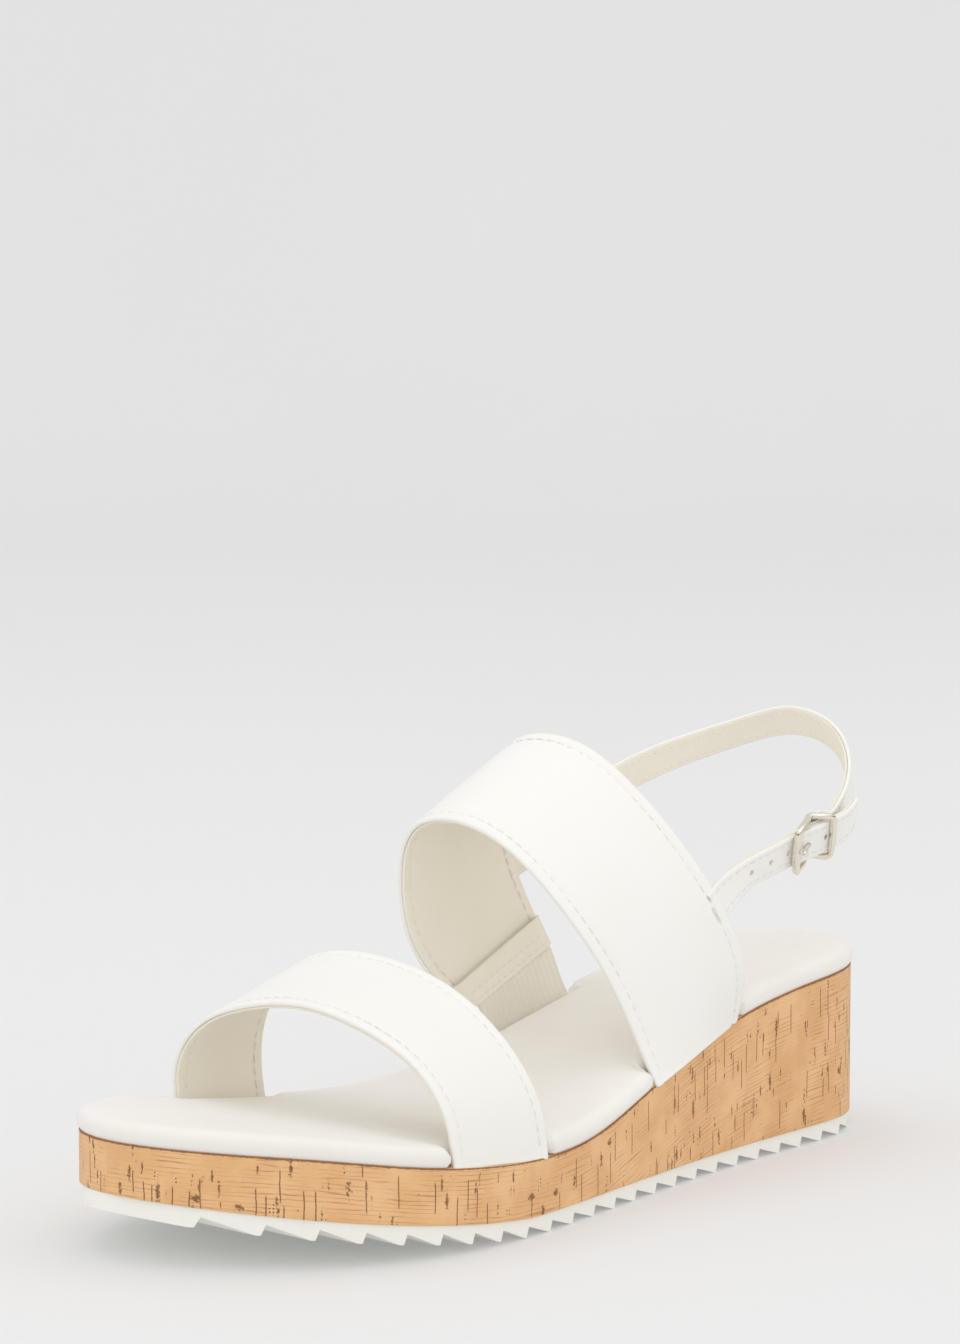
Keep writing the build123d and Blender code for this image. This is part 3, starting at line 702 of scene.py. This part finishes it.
def row_on(strip, from_edge, height, rear=False, skip=(0, 0)):
    """A line along a strip, so many millimetres in from its front or rear edge, at a height over its
    outer face; skip leaves off some frames at the ends. A line deeper than the leather lies on the
    lining and looks inwards."""
    near, side, out, width = (a[skip[0]:len(a) - skip[1]] for a in strip)
    x = width - from_edge if rear else np.full(len(width), from_edge)
    return near + side * x[:, None] + out * height, out if height > -LEATHER else -out


def make_band(name, lining_name, strip, stitch_skip):
    """A band's leather, its lining and its two stitch rows, seen outside and again on the lining."""
    band = solid_strip(name, strip, OUTSIDE, upper_leather, crown=CROWN, wobble=WOBBLE)
    lining = solid_strip(lining_name, strip, lining_section(LEATHER + GLUE, LINING), lining_leather,
                         crown=CROWN, wobble=WOBBLE)
    rows = [row_on(strip, STITCH_FROM_EDGE, height, rear, stitch_skip)
            for height in (-STITCH_SINK, STITCH_SINK - BAND_DEPTH) for rear in (False, True)]
    seam = stitches(name + "_stitching", rows, 2.35, 0.75, 0.19)
    for piece, slot in ((band, "upper_leather"), (lining, "lining"), (seam, "thread")):
        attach(piece, "sole_and_upper")
    return band, lining


vamp_front = band_edge(sole_edge(0.243, 1), sole_edge(0.216, -1), VAMP_RISE, [
    (0.96, 0, 0.28), (0.79, 0.5, 0.62), (0.42, 1.5, 0.89), (-0.05, 2.5, 1.0), (-0.52, 2, 0.89),
    (-0.88, 1, 0.63), (-1.02, 0, 0.30)])
vamp_rear = band_edge(sole_edge(0.375, 1), sole_edge(0.328, -1), VAMP_RISE * 1.32, [
    (0.97, 0, 0.20), (0.78, -0.5, 0.52), (0.38, -1, 0.83), (-0.25, -1.5, 0.99), (-0.68, -1, 0.93),
    (-0.97, 0, 0.66), (-1.04, 0, 0.35)])
vamp, vamp_lining = make_band(
    "vamp_band_leather", "vamp_band_lining",
    ribbon(vamp_front, vamp_rear, 170, drop=(FOOT_DEPTH, FOOT_DEPTH)), (3, 3))
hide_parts("vamp_band")
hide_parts("vamp_lining")

# ---------------------------------------------------------------------------------------------
# The instep band: a wider band of the same leather. Its outer end goes into the sole; its inner end
# stops above the sole, turned over and stitched down twice as a hem that holds an elastic gore.
# ---------------------------------------------------------------------------------------------

INSTEP_RISE = 57.0
HEM_HEIGHT = 8.0
HEM_THICKNESS = 0.7
HEM_STAND = 1.15

hem_front = np.array([-0.31 * BALL_WIDTH, along(0.560), sole_edge(0.560, -1)[2] - FOOT_LIFT + 12.0])
hem_rear = np.array([-0.345 * BALL_WIDTH, along(0.696), sole_edge(0.696, -1)[2] - FOOT_LIFT + 15.6])
instep_front = band_edge(sole_edge(0.572, 1), hem_front, INSTEP_RISE, [
    (0.92, 1.2, 0.10), (0.69, 7, 0.44), (0.30, 13, 0.74), (-0.18, 16, 0.92), (-0.67, 17.3, 0.95),
    (-1.09, 17, 0.85), (-1.29, 15, 0.57), (-1.22, 12.5, 0.28)])
instep_rear = band_edge(sole_edge(0.728, 1), hem_rear, INSTEP_RISE * 1.13, [
    (1.13, 3, 0.22), (1.05, 8, 0.455), (0.71, 12.8, 0.70), (0.24, 16, 0.885), (-0.34, 17.6, 0.967),
    (-0.85, 17.6, 0.88), (-1.15, 12.4, 0.58), (-1.17, 6.4, 0.30)])
instep_strip = ribbon(instep_front, instep_rear, 230, drop=(FOOT_DEPTH, 0))
instep, instep_lining = make_band("instep_band_leather", "instep_band_lining", instep_strip, (3, 2))
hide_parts("instep_band")
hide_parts("instep_lining")

hem_strip = ribbon(instep_front, instep_rear, 26, first=1 - HEM_HEIGHT / instep_front.length)
hem_seat = BAND_DEPTH + GLUE
hem_stand = hem_seat + HEM_STAND
hem_edge = [(0.6, hem_seat), (1.6, hem_seat + 0.1), (2.8, hem_stand - 0.1), (3.8, hem_stand)]
hem_section = np.array(
    [(x, 0, d) for x, d in hem_edge] + [(0, share, hem_stand) for share in BAND_SHARES]
    + [(-x, 1, d) for x, d in hem_edge[::-1]] + [(-x, 1, d + HEM_THICKNESS) for x, d in hem_edge]
    + [(0, share, hem_stand + HEM_THICKNESS) for share in BAND_SHARES[::-1]]
    + [(x, 0, d + HEM_THICKNESS) for x, d in hem_edge[::-1]])
hem = solid_strip("instep_hem_fold", hem_strip, hem_section, lining_leather, crown=CROWN)
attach(hem, "sole_and_upper")
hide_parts("instep_hem")

# Two rows across the band, so many millimetres from its end, on the hem and again on the outside.
hem_rows = []
for back, outside in ((1.4, False), (3.8, False), (1.4, True), (3.8, True)):
    t = 1 - back / instep_front.length
    f, side, out, width = (a[0] for a in ribbon(instep_front, instep_rear, 3, first=t, last=t + 0.004))
    s = np.linspace(3.2, width - 3.2, 30)[:, None]
    bow = CROWN * (1 - (2 * s / width - 1) ** 2)
    deep = (-STITCH_SINK if outside else hem_stand + HEM_THICKNESS - 0.03) - bow
    hem_rows.append((f + side * s - out * deep, np.broadcast_to(out if outside else -out, (30, 3))))
hem_seam = stitches("instep_hem_stitching", hem_rows, 1.9, 0.7, 0.23)
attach(hem_seam, "sole_and_upper")

# ---------------------------------------------------------------------------------------------
# The elastic gore: a short piece of ribbed white elastic, sewn under the hem and glued under the
# footbed's edge. Its ribs stand upright; each is a cord of rubber covered with yarn.
# ---------------------------------------------------------------------------------------------

GORE_WIDTH = 19.0
GORE_THICKNESS = 1.1
RIB_PITCH = 1.15
RIB_HEIGHT = 0.16

elastic, tree, shader = new_material("elastic", Roughness=0.85, Sheen_Weight=0.15)
place = node(tree, "TexCoord", {}).outputs["UV"]
ribs = node(tree, "TexWave", {"Vector": place, "Scale": 10 / np.pi, "Distortion": 0.15},
            bands_direction="X").outputs["Fac"]
yarn = node(tree, "TexVoronoi", {"Vector": stretched(tree, place, 30.0, 55.0), "Scale": 1.0,
                                 "Randomness": 0.35}).outputs["Distance"]
tree.links.new(mix(tree, yarn, (0.95, 0.91, 0.83, 1), (0.86, 0.81, 0.71, 1)), shader.inputs["Base Color"])
tree.links.new(ramp(tree, ribs, 0, 1, 0.8, 0.92), shader.inputs["Roughness"])
bump(tree, shader, yarn, 0.7, 0.00012)

gore_depth = BAND_DEPTH + GLUE
f, r = instep_front(1.0), instep_rear(1.0)
lap = HEM_HEIGHT * 0.6
lap_f, lap_r = instep_front(1 - lap / instep_front.length), instep_rear(1 - lap / instep_rear.length)
tops = [(lap_f + (lap_r - lap_f) * s, f + (r - f) * s) for s in (0.08, 0.95)]
feet = [sole_edge(0.588, -1), sole_edge(0.701, -1)]
sides = [smooth_curve([a, b, (b + c) / 2 + (-0.5, 0, 0), c]) for (a, b), c in zip(tops, feet)]
near, side, out, width = ribbon(*sides, 40, drop=(0, 0.8))
s = np.linspace(0, 1, 220)
x = s * width[:, None]
sunk = RIB_HEIGHT * (1 - np.abs(np.sin(np.pi * s * GORE_WIDTH / RIB_PITCH)) ** 0.8)
front, back = (near[:, None] + side[:, None] * x[..., None] - out[:, None] * depth[:, None]
               for depth in (gore_depth + sunk, gore_depth + GORE_THICKNESS - sunk))
shape = np.concatenate([front, back[:, ::-1]], axis=1)
gore_u = np.concatenate([x, x[:, ::-1]], 1)
gore_v = np.broadcast_to(np.linspace(0, 20, len(shape))[:, None], gore_u.shape)
gore = new_piece("elastic_gore_ribbed", shape, tube_faces(*shape.shape[:2]), elastic,
                 uv=np.stack([gore_u, gore_v], -1) / 10)
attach(gore, "sole_and_upper")
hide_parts("elastic_gore")

# ---------------------------------------------------------------------------------------------
# The sling: a narrow lined strap with a stitch row along both edges. It is sewn under the instep
# band on the inner side, goes round behind the heel and is turned round the buckle's centre bar.
# ---------------------------------------------------------------------------------------------

STRAP_WIDTH = 9.0
STRAP_LEATHER = 0.9
STRAP_LINING = 0.7
STACK = STRAP_LEATHER + GLUE + STRAP_LINING
ROOT_SETBACK = STRAP_WIDTH / 2 + 2.5
TAB_GAP = 0.9
HEEL_SEAT = OUTSOLE_THICKNESS + HEEL_HEIGHT
SLING_T = 0.855
BILLET_T = 0.178
BAR_RADIUS = 0.8
TURNBACK_CLEARANCE = 0.4
TURNBACK_LENGTH = 6.0
TURNBACK_THICKNESS = 0.7

BUCKLE_AT = np.array([0.313 * BALL_WIDTH, along(0.8356), HEEL_SEAT + 37.9])
ALONG = unit((0.049, 0.975, 0.219))
ACROSS = unit(np.cross(ALONG, np.cross((0.276, -0.224, 0.935), ALONG)))
OUT = np.cross(ALONG, ACROSS)

# Middle of the sling round the heel: (share of the ball width, share of the length, height over the
# heel seat), with the direction across its width.
SLING_ROUTE = (
    ((-0.401, 0.794, 43.0), (0.05, -0.33, 0.94)), ((-0.387, 0.872, 49.8), (0.14, -0.38, 0.91)),
    ((-0.344, 0.923, 53.6), (0.26, -0.38, 0.89)), ((-0.245, 0.972, 58.2), (0.30, -0.42, 0.85)),
    ((-0.119, 0.996, 61.3), (0.14, -0.50, 0.85)), ((0.008, 0.998, 59.3), (0.02, -0.42, 0.91)),
    ((0.108, 0.982, 55.3), (0.08, -0.33, 0.94)), ((0.200, 0.952, 49.8), (0.15, -0.32, 0.93)),
    ((0.262, 0.918, 45.0), (0.20, -0.31, 0.93)), ((0.303, 0.884, 41.2), (0.25, -0.28, 0.93)),
)


def buckle_point(station, width, out):
    return BUCKLE_AT + ALONG * station + ACROSS * width + OUT * out


def heel_point(across, share, height):
    return np.array([across * BALL_WIDTH, along(share), HEEL_SEAT + height])


def instep_at(t):
    """The instep band at a share of its length: its rear edge's point and the direction out."""
    step = 0.002
    f, r = instep_front(t), instep_rear(t)
    forward = (instep_front(t + step) - instep_front(t - step)
               + instep_rear(t + step) - instep_rear(t - step))
    return r, unit(np.cross(r - f, forward))


def root_of(t, target):
    """Where a strap leaves the instep band's rear edge for a target: its root, and the directions
    along it and across it."""
    r, out = instep_at(t)
    run = unit(target - r)
    point = r + run * ROOT_SETBACK - out * (BAND_DEPTH + TAB_GAP + STACK / 2)
    return point, run, unit(np.cross(square_to(run, out), run))


def strap_edges(route):
    """A strap's two edge curves from its middle points and the directions across it."""
    middle, across = (np.array(part) for part in zip(*route))
    reach = unit(across) * STRAP_WIDTH / 2
    return smooth_curve(middle + reach), smooth_curve(middle - reach)


strap_leather = leather(
    "strap_leather", (0.94, 0.93, 0.89, 1), (0.92, 0.905, 0.86, 1), 1300, 30, 0.2, 0.45, 0.08)
STRAP_EDGE = [(0.0, -0.45), (0.03, -0.27), (0.12, -0.1), (0.3, 0.01), (0.7, 0.08), (1.1, 0.06), (1.35, -0.04),
              (1.55, -0.08), (1.75, -0.04), (2.1, 0.02), (2.6, 0.03)]
STRAP_LINING_EDGE = [(0.25, -0.3), (0.3, -0.12), (0.5, -0.02), (1.5, 0), (2.6, 0)]
STRAP_SHARES = np.linspace(0.34, 0.66, 7)
STRAP_STITCH_FROM_EDGE = 1.55


def make_strap(name, lining_name, strip):
    """A strap's leather and lining, and its stitch rows, outside and on the lining."""
    near, side, out, width = strip
    raised = (near + out * STACK / 2, side, out, width)
    leather_part = solid_strip(name, raised, strip_section(0, STRAP_LEATHER, STRAP_EDGE, STRAP_SHARES),
                               strap_leather)
    lining_part = solid_strip(lining_name, raised, strip_section(
        STRAP_LEATHER + GLUE, STRAP_LINING, STRAP_LINING_EDGE, STRAP_SHARES), lining_leather)
    rows = [row_on(raised, STRAP_STITCH_FROM_EDGE, height, rear)
            for height in (-STITCH_SINK, STITCH_SINK - STACK) for rear in (False, True)]
    return leather_part, lining_part, stitches(name + "_stitching", rows, 1.9, 0.65, 0.17)


sling_root, sling_run, sling_across = root_of(SLING_T, heel_point(*SLING_ROUTE[0][0]))
sling_side = sling_across * np.sign(sling_across[2])
UNDER_BAND = 3.5


def sewn_start(t, run, side, depths):
    """The first points of a strap's middle: inside the band's edge, then out of it. depths lists
    (millimetres behind the band's rear edge, depth under the band's outer face)."""
    r, out = instep_at(t)
    return [(r + run * back - out * deep, side) for back, deep in depths]


route = sewn_start(SLING_T, sling_run, sling_side, ((-UNDER_BAND, 1.0), (0, 1.0), (5, 1.7)))
route.append((sling_root + sling_run * 6, sling_side))
route += [(heel_point(*place), direction) for place, direction in SLING_ROUTE]
route += [(buckle_point(TURNBACK_LENGTH + s, 0, 0), ACROSS) for s in (1.2, -1.0)]
route.append((buckle_point(BAR_RADIUS + TURNBACK_CLEARANCE + 1.2, 0, 0), ACROSS))
upper, lower = strap_edges(route)
sling, sling_lining, sling_seam = make_strap(
    "sling_strap_leather", "sling_strap_lining", ribbon(lower, upper, 260))
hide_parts("sling_strap", "sling_tab")
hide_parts("sling_lining")
for piece, slot in ((sling, "strap_leather"), (sling_lining, "lining"), (sling_seam, "thread")):
    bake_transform(piece)

# ---------------------------------------------------------------------------------------------
# The billet: the short punched strap on the outer side, made like the sling. It goes through the
# buckle over the centre bar, is held by the prong, and its tail lies loose behind the buckle.
# ---------------------------------------------------------------------------------------------

BILLET_OVER = BAR_RADIUS + TURNBACK_CLEARANCE + TURNBACK_THICKNESS + 0.15 + STACK / 2
TAIL_LENGTH = 17.5
HOLE_RADIUS = 0.75
HOLE_PITCH = 6.8
FRONT_REACH = 9.3
REAR_REACH = 4.2
BAR_PROUD = 4.4
PRONG_RADIUS = 0.55
FRONT_DISTANCE = np.hypot(BAR_PROUD, FRONT_REACH)
PRONG_REST = 1.0 + PRONG_RADIUS + 0.1
PRONG_ANGLE = np.arctan2(BAR_PROUD, FRONT_REACH) + np.arcsin(PRONG_REST / FRONT_DISTANCE)

billet_root, billet_run, billet_across = root_of(BILLET_T, buckle_point(-22.9, -0.5, 1.8))
billet_side = unit(billet_across * np.sign(billet_across[2]) + 0.6 * ACROSS)
route = sewn_start(BILLET_T + 0.012, billet_run, billet_side, ((-2.5, 1.5), (1.0, 1.5)))
route += [(buckle_point(*place), ACROSS) for place in (
    (-22.4, -0.8, BILLET_OVER - 0.9), (-15.0, -0.3, BILLET_OVER - 0.6), (-FRONT_REACH, 0, BILLET_OVER - 0.5),
    (-4.0, 0, BILLET_OVER - 0.1), (0, 0, BILLET_OVER), (REAR_REACH, 0, BILLET_OVER),
    (9.0, 0, BILLET_OVER - 0.1), (14.0, 0.3, BILLET_OVER - 1.1), (TAIL_LENGTH, 0.8, BILLET_OVER - 2.6))]
near, side, out, width = billet_strip = ribbon(*strap_edges(route), 170)
billet, billet_lining, billet_seam = make_strap(
    "billet_strap_leather", "billet_strap_lining", billet_strip)

# The holes: five, of which the second from the free end takes the prong and is drawn out by it.
middle = near + side * width[:, None] / 2
station = (middle - BUCKLE_AT) @ ALONG
prong_at = -BILLET_OVER / np.tan(PRONG_ANGLE)
punches = []
for step in (-3, -2, -1, 0, 1):
    k = int(np.abs(station - prong_at - step * HOLE_PITCH).argmin())
    angle = np.linspace(0, 2 * np.pi, 24, endpoint=False)
    forward = unit(np.cross(out[k], side[k]))
    stretch = 1.5 if step == 0 else 1.0
    rim = (forward * np.cos(angle)[:, None] * stretch + side[k] * np.sin(angle)[:, None]) * HOLE_RADIUS
    tube = np.concatenate([middle[k] + rim + out[k] * 3, middle[k] + rim - out[k] * 3])
    quads = [(a, (a + 1) % 24, (a + 1) % 24 + 24, a + 24) for a in range(24)]
    punches.append(new_piece(f"punch_{step + 3}", tube, [*quads, list(range(24))[::-1], list(range(24, 48))],
                             strap_leather))
for piece in (billet, billet_lining):
    for punch in punches:
        cut = piece.modifiers.new("hole", "BOOLEAN")
        cut.object = punch
        cut.operation = "DIFFERENCE"
        cut.solver = "EXACT"
        with bpy.context.temp_override(object=piece, active_object=piece, selected_objects=[piece]):
            bpy.ops.object.modifier_apply(modifier=cut.name)
for punch in punches:
    bpy.data.objects.remove(punch)
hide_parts("billet_strap", "billet_tab")
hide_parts("billet_lining")
for piece, slot in ((billet, "strap_leather"), (billet_lining, "lining"), (billet_seam, "thread")):
    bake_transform(piece)

# ---------------------------------------------------------------------------------------------
# The bar tacks: dense stitches through the band that hold both straps' ends.
# ---------------------------------------------------------------------------------------------

tack_rows = []
for t in (SLING_T, BILLET_T):
    half = STRAP_WIDTH * 0.2 / instep_rear.length
    near, side, out, width = ribbon(instep_front, instep_rear, 10, first=t - half, last=t + half)
    for k in np.linspace(0, 9, 10).astype(int):
        line = near[k] + side[k] * (width[k] - np.linspace(2.2, 3.8, 5)[:, None]) + out[k] * 0.08
        tack_rows.append((line, np.broadcast_to(out[k], (5, 3)).copy()))
tacks = stitches("bar_tack_stitches", tack_rows, 1.4, 0.1, 0.17)
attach(tacks, "sole_and_upper")
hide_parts("bar_tacks")

# ---------------------------------------------------------------------------------------------
# The buckle: a die-cast double frame, polished and nickel plated. Its side rails dip to the centre
# bar, which holds the turned-back sling and the wire prong's eye.
# ---------------------------------------------------------------------------------------------

BAR_LENGTH = 13.0

nickel, tree, shader = new_material(
    "polished_nickel", Metallic=1.0, Roughness=0.16, Base_Color=(0.66, 0.62, 0.54, 1))
place = node(tree, "TexCoord", {}).outputs["Object"]
brushed = noise(tree, place, 900, 4, 0.6)
tree.links.new(mix(tree, brushed, (0.78, 0.73, 0.63, 1), (0.92, 0.87, 0.77, 1)), shader.inputs["Base Color"])
tree.links.new(ramp(tree, brushed, 0.3, 0.7, 0.06, 0.16), shader.inputs["Roughness"])
bump(tree, shader, noise(tree, place, 500, 3), 0.08, 0.0001)


def swept_loop(name, path, sizes, material, closed, up):
    """A rounded bar carried along a path: at each point a section of 16 points, a squared circle of
    the given half width and half height. up is the direction that the half height lies along."""
    run = unit(np.roll(path, -1, axis=0) - np.roll(path, 1, axis=0) if closed
               else np.gradient(path, axis=0))
    high = square_to(run, np.broadcast_to(up, path.shape))
    wide = np.cross(run, high)
    angle = np.arange(16) * np.pi / 8
    c, s = (np.sign(turned) * np.abs(turned) ** 0.5 for turned in (np.cos(angle), np.sin(angle)))
    grid = (path[:, None] + wide[:, None] * (sizes[:, :1] * c)[..., None]
            + high[:, None] * (sizes[:, 1:] * s)[..., None])
    return new_piece(name, grid, tube_faces(len(path), 16, closed), material)


def in_buckle(points):
    """From the buckle's own frame (along the strap, across it, outwards) to the shoe's."""
    points = np.asarray(points, float)
    return BUCKLE_AT + points[..., :1] * ALONG + points[..., 1:2] * ACROSS + points[..., 2:] * OUT


half = BAR_LENGTH / 2 - 0.75
corner = 0.9
knee = 1.3
loop = []
for side in (1, -1):
    rail = [(-FRONT_REACH, side * (half - corner), BAR_PROUD),
            (-FRONT_REACH + corner * 0.3, side * (half - corner * 0.3), BAR_PROUD - 0.1),
            (-FRONT_REACH + corner, side * half, BAR_PROUD * (1 - corner / FRONT_REACH)),
            (-knee * 1.6, side * half, BAR_PROUD * knee * 1.6 / FRONT_REACH), (0, side * half, 0.25),
            (knee, side * half, BAR_PROUD * knee / REAR_REACH),
            (REAR_REACH - 0.7, side * half, BAR_PROUD * 0.84),
            (REAR_REACH - 0.1, side * (half - 0.5), BAR_PROUD * 0.97),
            (REAR_REACH, side * (half - 1.2), BAR_PROUD)]
    loop += rail if side == 1 else rail[::-1]
loop_path = smooth_curve(in_buckle(loop), closed=True)(np.arange(240) / 240)
local = (loop_path - BUCKLE_AT) @ np.stack([ALONG, ACROSS, OUT], -1)
front_share = np.clip(-local[:, 0] / FRONT_REACH, 0, 1)[:, None]
rear_share = np.clip(local[:, 0] / REAR_REACH, 0, 1)[:, None]
thick = 0.68 + 0.30 * front_share**8 + 0.14 * rear_share**5
sizes = np.hstack([thick, 0.92 - 0.12 * front_share**8 - 0.2 * rear_share**5])
buckle = swept_loop("buckle_frame_cast", loop_path, sizes, nickel, True, OUT)
bar = in_buckle(np.stack([np.zeros(20), np.linspace(-half - 0.2, half + 0.2, 20), np.zeros(20)], -1))
centre_bar = swept_loop("buckle_centre_bar", bar, np.full((20, 2), BAR_RADIUS), nickel, False, OUT)
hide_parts("buckle_frame")
for piece in (buckle, centre_bar):
    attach(piece, "sling")

# The prong, first in the buckle's own frame with its wire lying along the strap: the eye round the
# bar, a short neck, and the wire with a slight bow. Then it is turned up to rest on the front bar.
eye_turn = np.linspace(-0.75 * np.pi, 0.85 * np.pi, 30)
eye_radius = BAR_RADIUS + 0.08 + PRONG_RADIUS
reach = FRONT_DISTANCE + 0.5
eye = np.stack([-np.cos(eye_turn) * eye_radius, np.zeros(30), np.sin(eye_turn) * eye_radius], -1)
straight = np.linspace(eye_radius + 1.2, reach, 14)
bow = 0.35 * np.sin((straight - straight[0]) / (reach - straight[0]) * np.pi)
neck = np.interp(straight, [straight[0], straight[0] + 1.5], [0.3, 0.0])
wire = np.stack([-straight, np.zeros(14), bow + neck], -1)
prong_line = smooth_curve(np.vstack([eye[::3], wire]))(np.linspace(0, 1, 90))
turn_out = np.array([[np.cos(PRONG_ANGLE), 0, -np.sin(PRONG_ANGLE)], [0, 1, 0],
                     [np.sin(PRONG_ANGLE), 0, np.cos(PRONG_ANGLE)]])
prong_line = in_buckle(prong_line @ turn_out)
prong_size = np.full((90, 2), PRONG_RADIUS)
prong_size[-6:] *= np.array([0.97, 0.92, 0.84, 0.72, 0.55, 0.3])[:, None]
prong_size[:3] *= np.array([0.4, 0.75, 0.95])[:, None]
prong = swept_loop("buckle_prong_wire", prong_line, prong_size, nickel, False, ACROSS)
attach(prong, "prong")
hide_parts("buckle_prong")

# ---------------------------------------------------------------------------------------------
# The sling's turned-back end: a tongue of strap leather round the centre bar, slit for the prong.
# ---------------------------------------------------------------------------------------------

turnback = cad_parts["sling_turnback"]
turnback.data.materials.clear()
turnback.data.materials.append(strap_leather)

# ---------------------------------------------------------------------------------------------
# The studio: a pale sweep under and behind the shoe that glows faintly as painted light, two large soft
# lights and a faint sky.
# ---------------------------------------------------------------------------------------------

SWEEP_START = 2200
SWEEP_RADIUS = 900
SWEEP_TOP = 4000
SWEEP_BEFORE = 3000
SWEEP_REACH = 4500

# The sweep glows faintly white: painted light that lifts the shadows cast on it, such as the one under the
# toe.
glowing_sweep_material, tree, shader = new_material(
    "studio_sweep_painted_glow", Roughness=0.9, Specular_IOR_Level=0.1, Emission_Color=(1, 1, 1, 1),
    Emission_Strength=0.15)
place = node(tree, "TexCoord", {}).outputs["Object"]
tree.links.new(mix(tree, noise(tree, place, 3, 2), (0.665, 0.665, 0.668, 1), (0.685, 0.685, 0.688, 1)),
               shader.inputs["Base Color"])
# The sweep's side view, as distance away from the camera and height: floor, curve and back wall.
profile = np.array(
    [(-SWEEP_BEFORE, 0), (0, 0)]
    + [(SWEEP_START + SWEEP_RADIUS * np.sin(a), SWEEP_RADIUS - SWEEP_RADIUS * np.cos(a))
       for a in np.linspace(0, np.pi / 2, 24)] + [(SWEEP_START + SWEEP_RADIUS, SWEEP_TOP)])
away = (-0.69, 0.724)
sideways = (0.724, 0.69)
spread = np.linspace(-SWEEP_REACH, SWEEP_REACH, 3)
sweep = np.stack([profile[:, None, 0] * away[0] + spread * sideways[0],
                  profile[:, None, 0] * away[1] + spread * sideways[1],
                  np.broadcast_to(profile[:, None, 1], (len(profile), 3))], -1)
floor = new_piece("studio_floor", sweep - MIDDLE, grid_faces(len(profile), 3), glowing_sweep_material)

target = Vector((0, 0, 0.05))


def soft_light(name, place, size, power, tint=(1, 1, 1)):
    """A square soft light that looks at the shoe."""
    light = bpy.data.lights.new(name, "AREA")
    light.shape = "SQUARE"
    light.size = size
    light.energy = power
    light.color = tint
    lamp = bpy.data.objects.new(name, light)
    bpy.context.scene.collection.objects.link(lamp)
    lamp.location = place
    lamp.rotation_euler = (target - Vector(place)).to_track_quat("-Z", "Y").to_euler()


soft_light("overhead", (0.1, 0.15, 1.5), 1.6, 2.9)
soft_light("front_fill", (1.3, -1.0, 0.9), 1.2, 1.5)
soft_light("left_fill", (-0.9, -1.4, 0.8), 1.0, 1.0)

world = bpy.data.worlds.new("studio_sky")
bpy.context.scene.world = world
world.use_nodes = True
sky = world.node_tree
height = node(sky, "SeparateXYZ", {0: node(sky, "TexCoord", {}).outputs["Generated"]}).outputs["Z"]
band = times(sky, ramp(sky, height, 0.02, 0.15), ramp(sky, height, 0.35, 0.6, 1, 0))
mirrored = times(sky, band, node(sky, "LightPath", {}).outputs["Is Glossy Ray"])
tone = mix(sky, mirrored, (0.955, 0.95, 0.945, 1), (0.22, 0.15, 0.09, 1))
sky.links.new(tone, sky.nodes["Background"].inputs["Color"])
sky.nodes["Background"].inputs["Strength"].default_value = 0.985

camera_data = bpy.data.cameras.new("camera")
camera_data.sensor_width = 36
camera_data.lens = 120.54
camera_data.clip_end = 20
camera = bpy.data.objects.new("camera", camera_data)
bpy.context.scene.collection.objects.link(camera)
camera.location = (Vector((759.6, -806.9, 244.5)) + Vector(MIDDLE)) / 1000
camera.rotation_euler = Vector((-0.6858, 0.7204, -0.1035)).to_track_quat("-Z", "Y").to_euler()
bpy.context.scene.camera = camera
bpy.context.scene.view_settings.view_transform = "Standard"
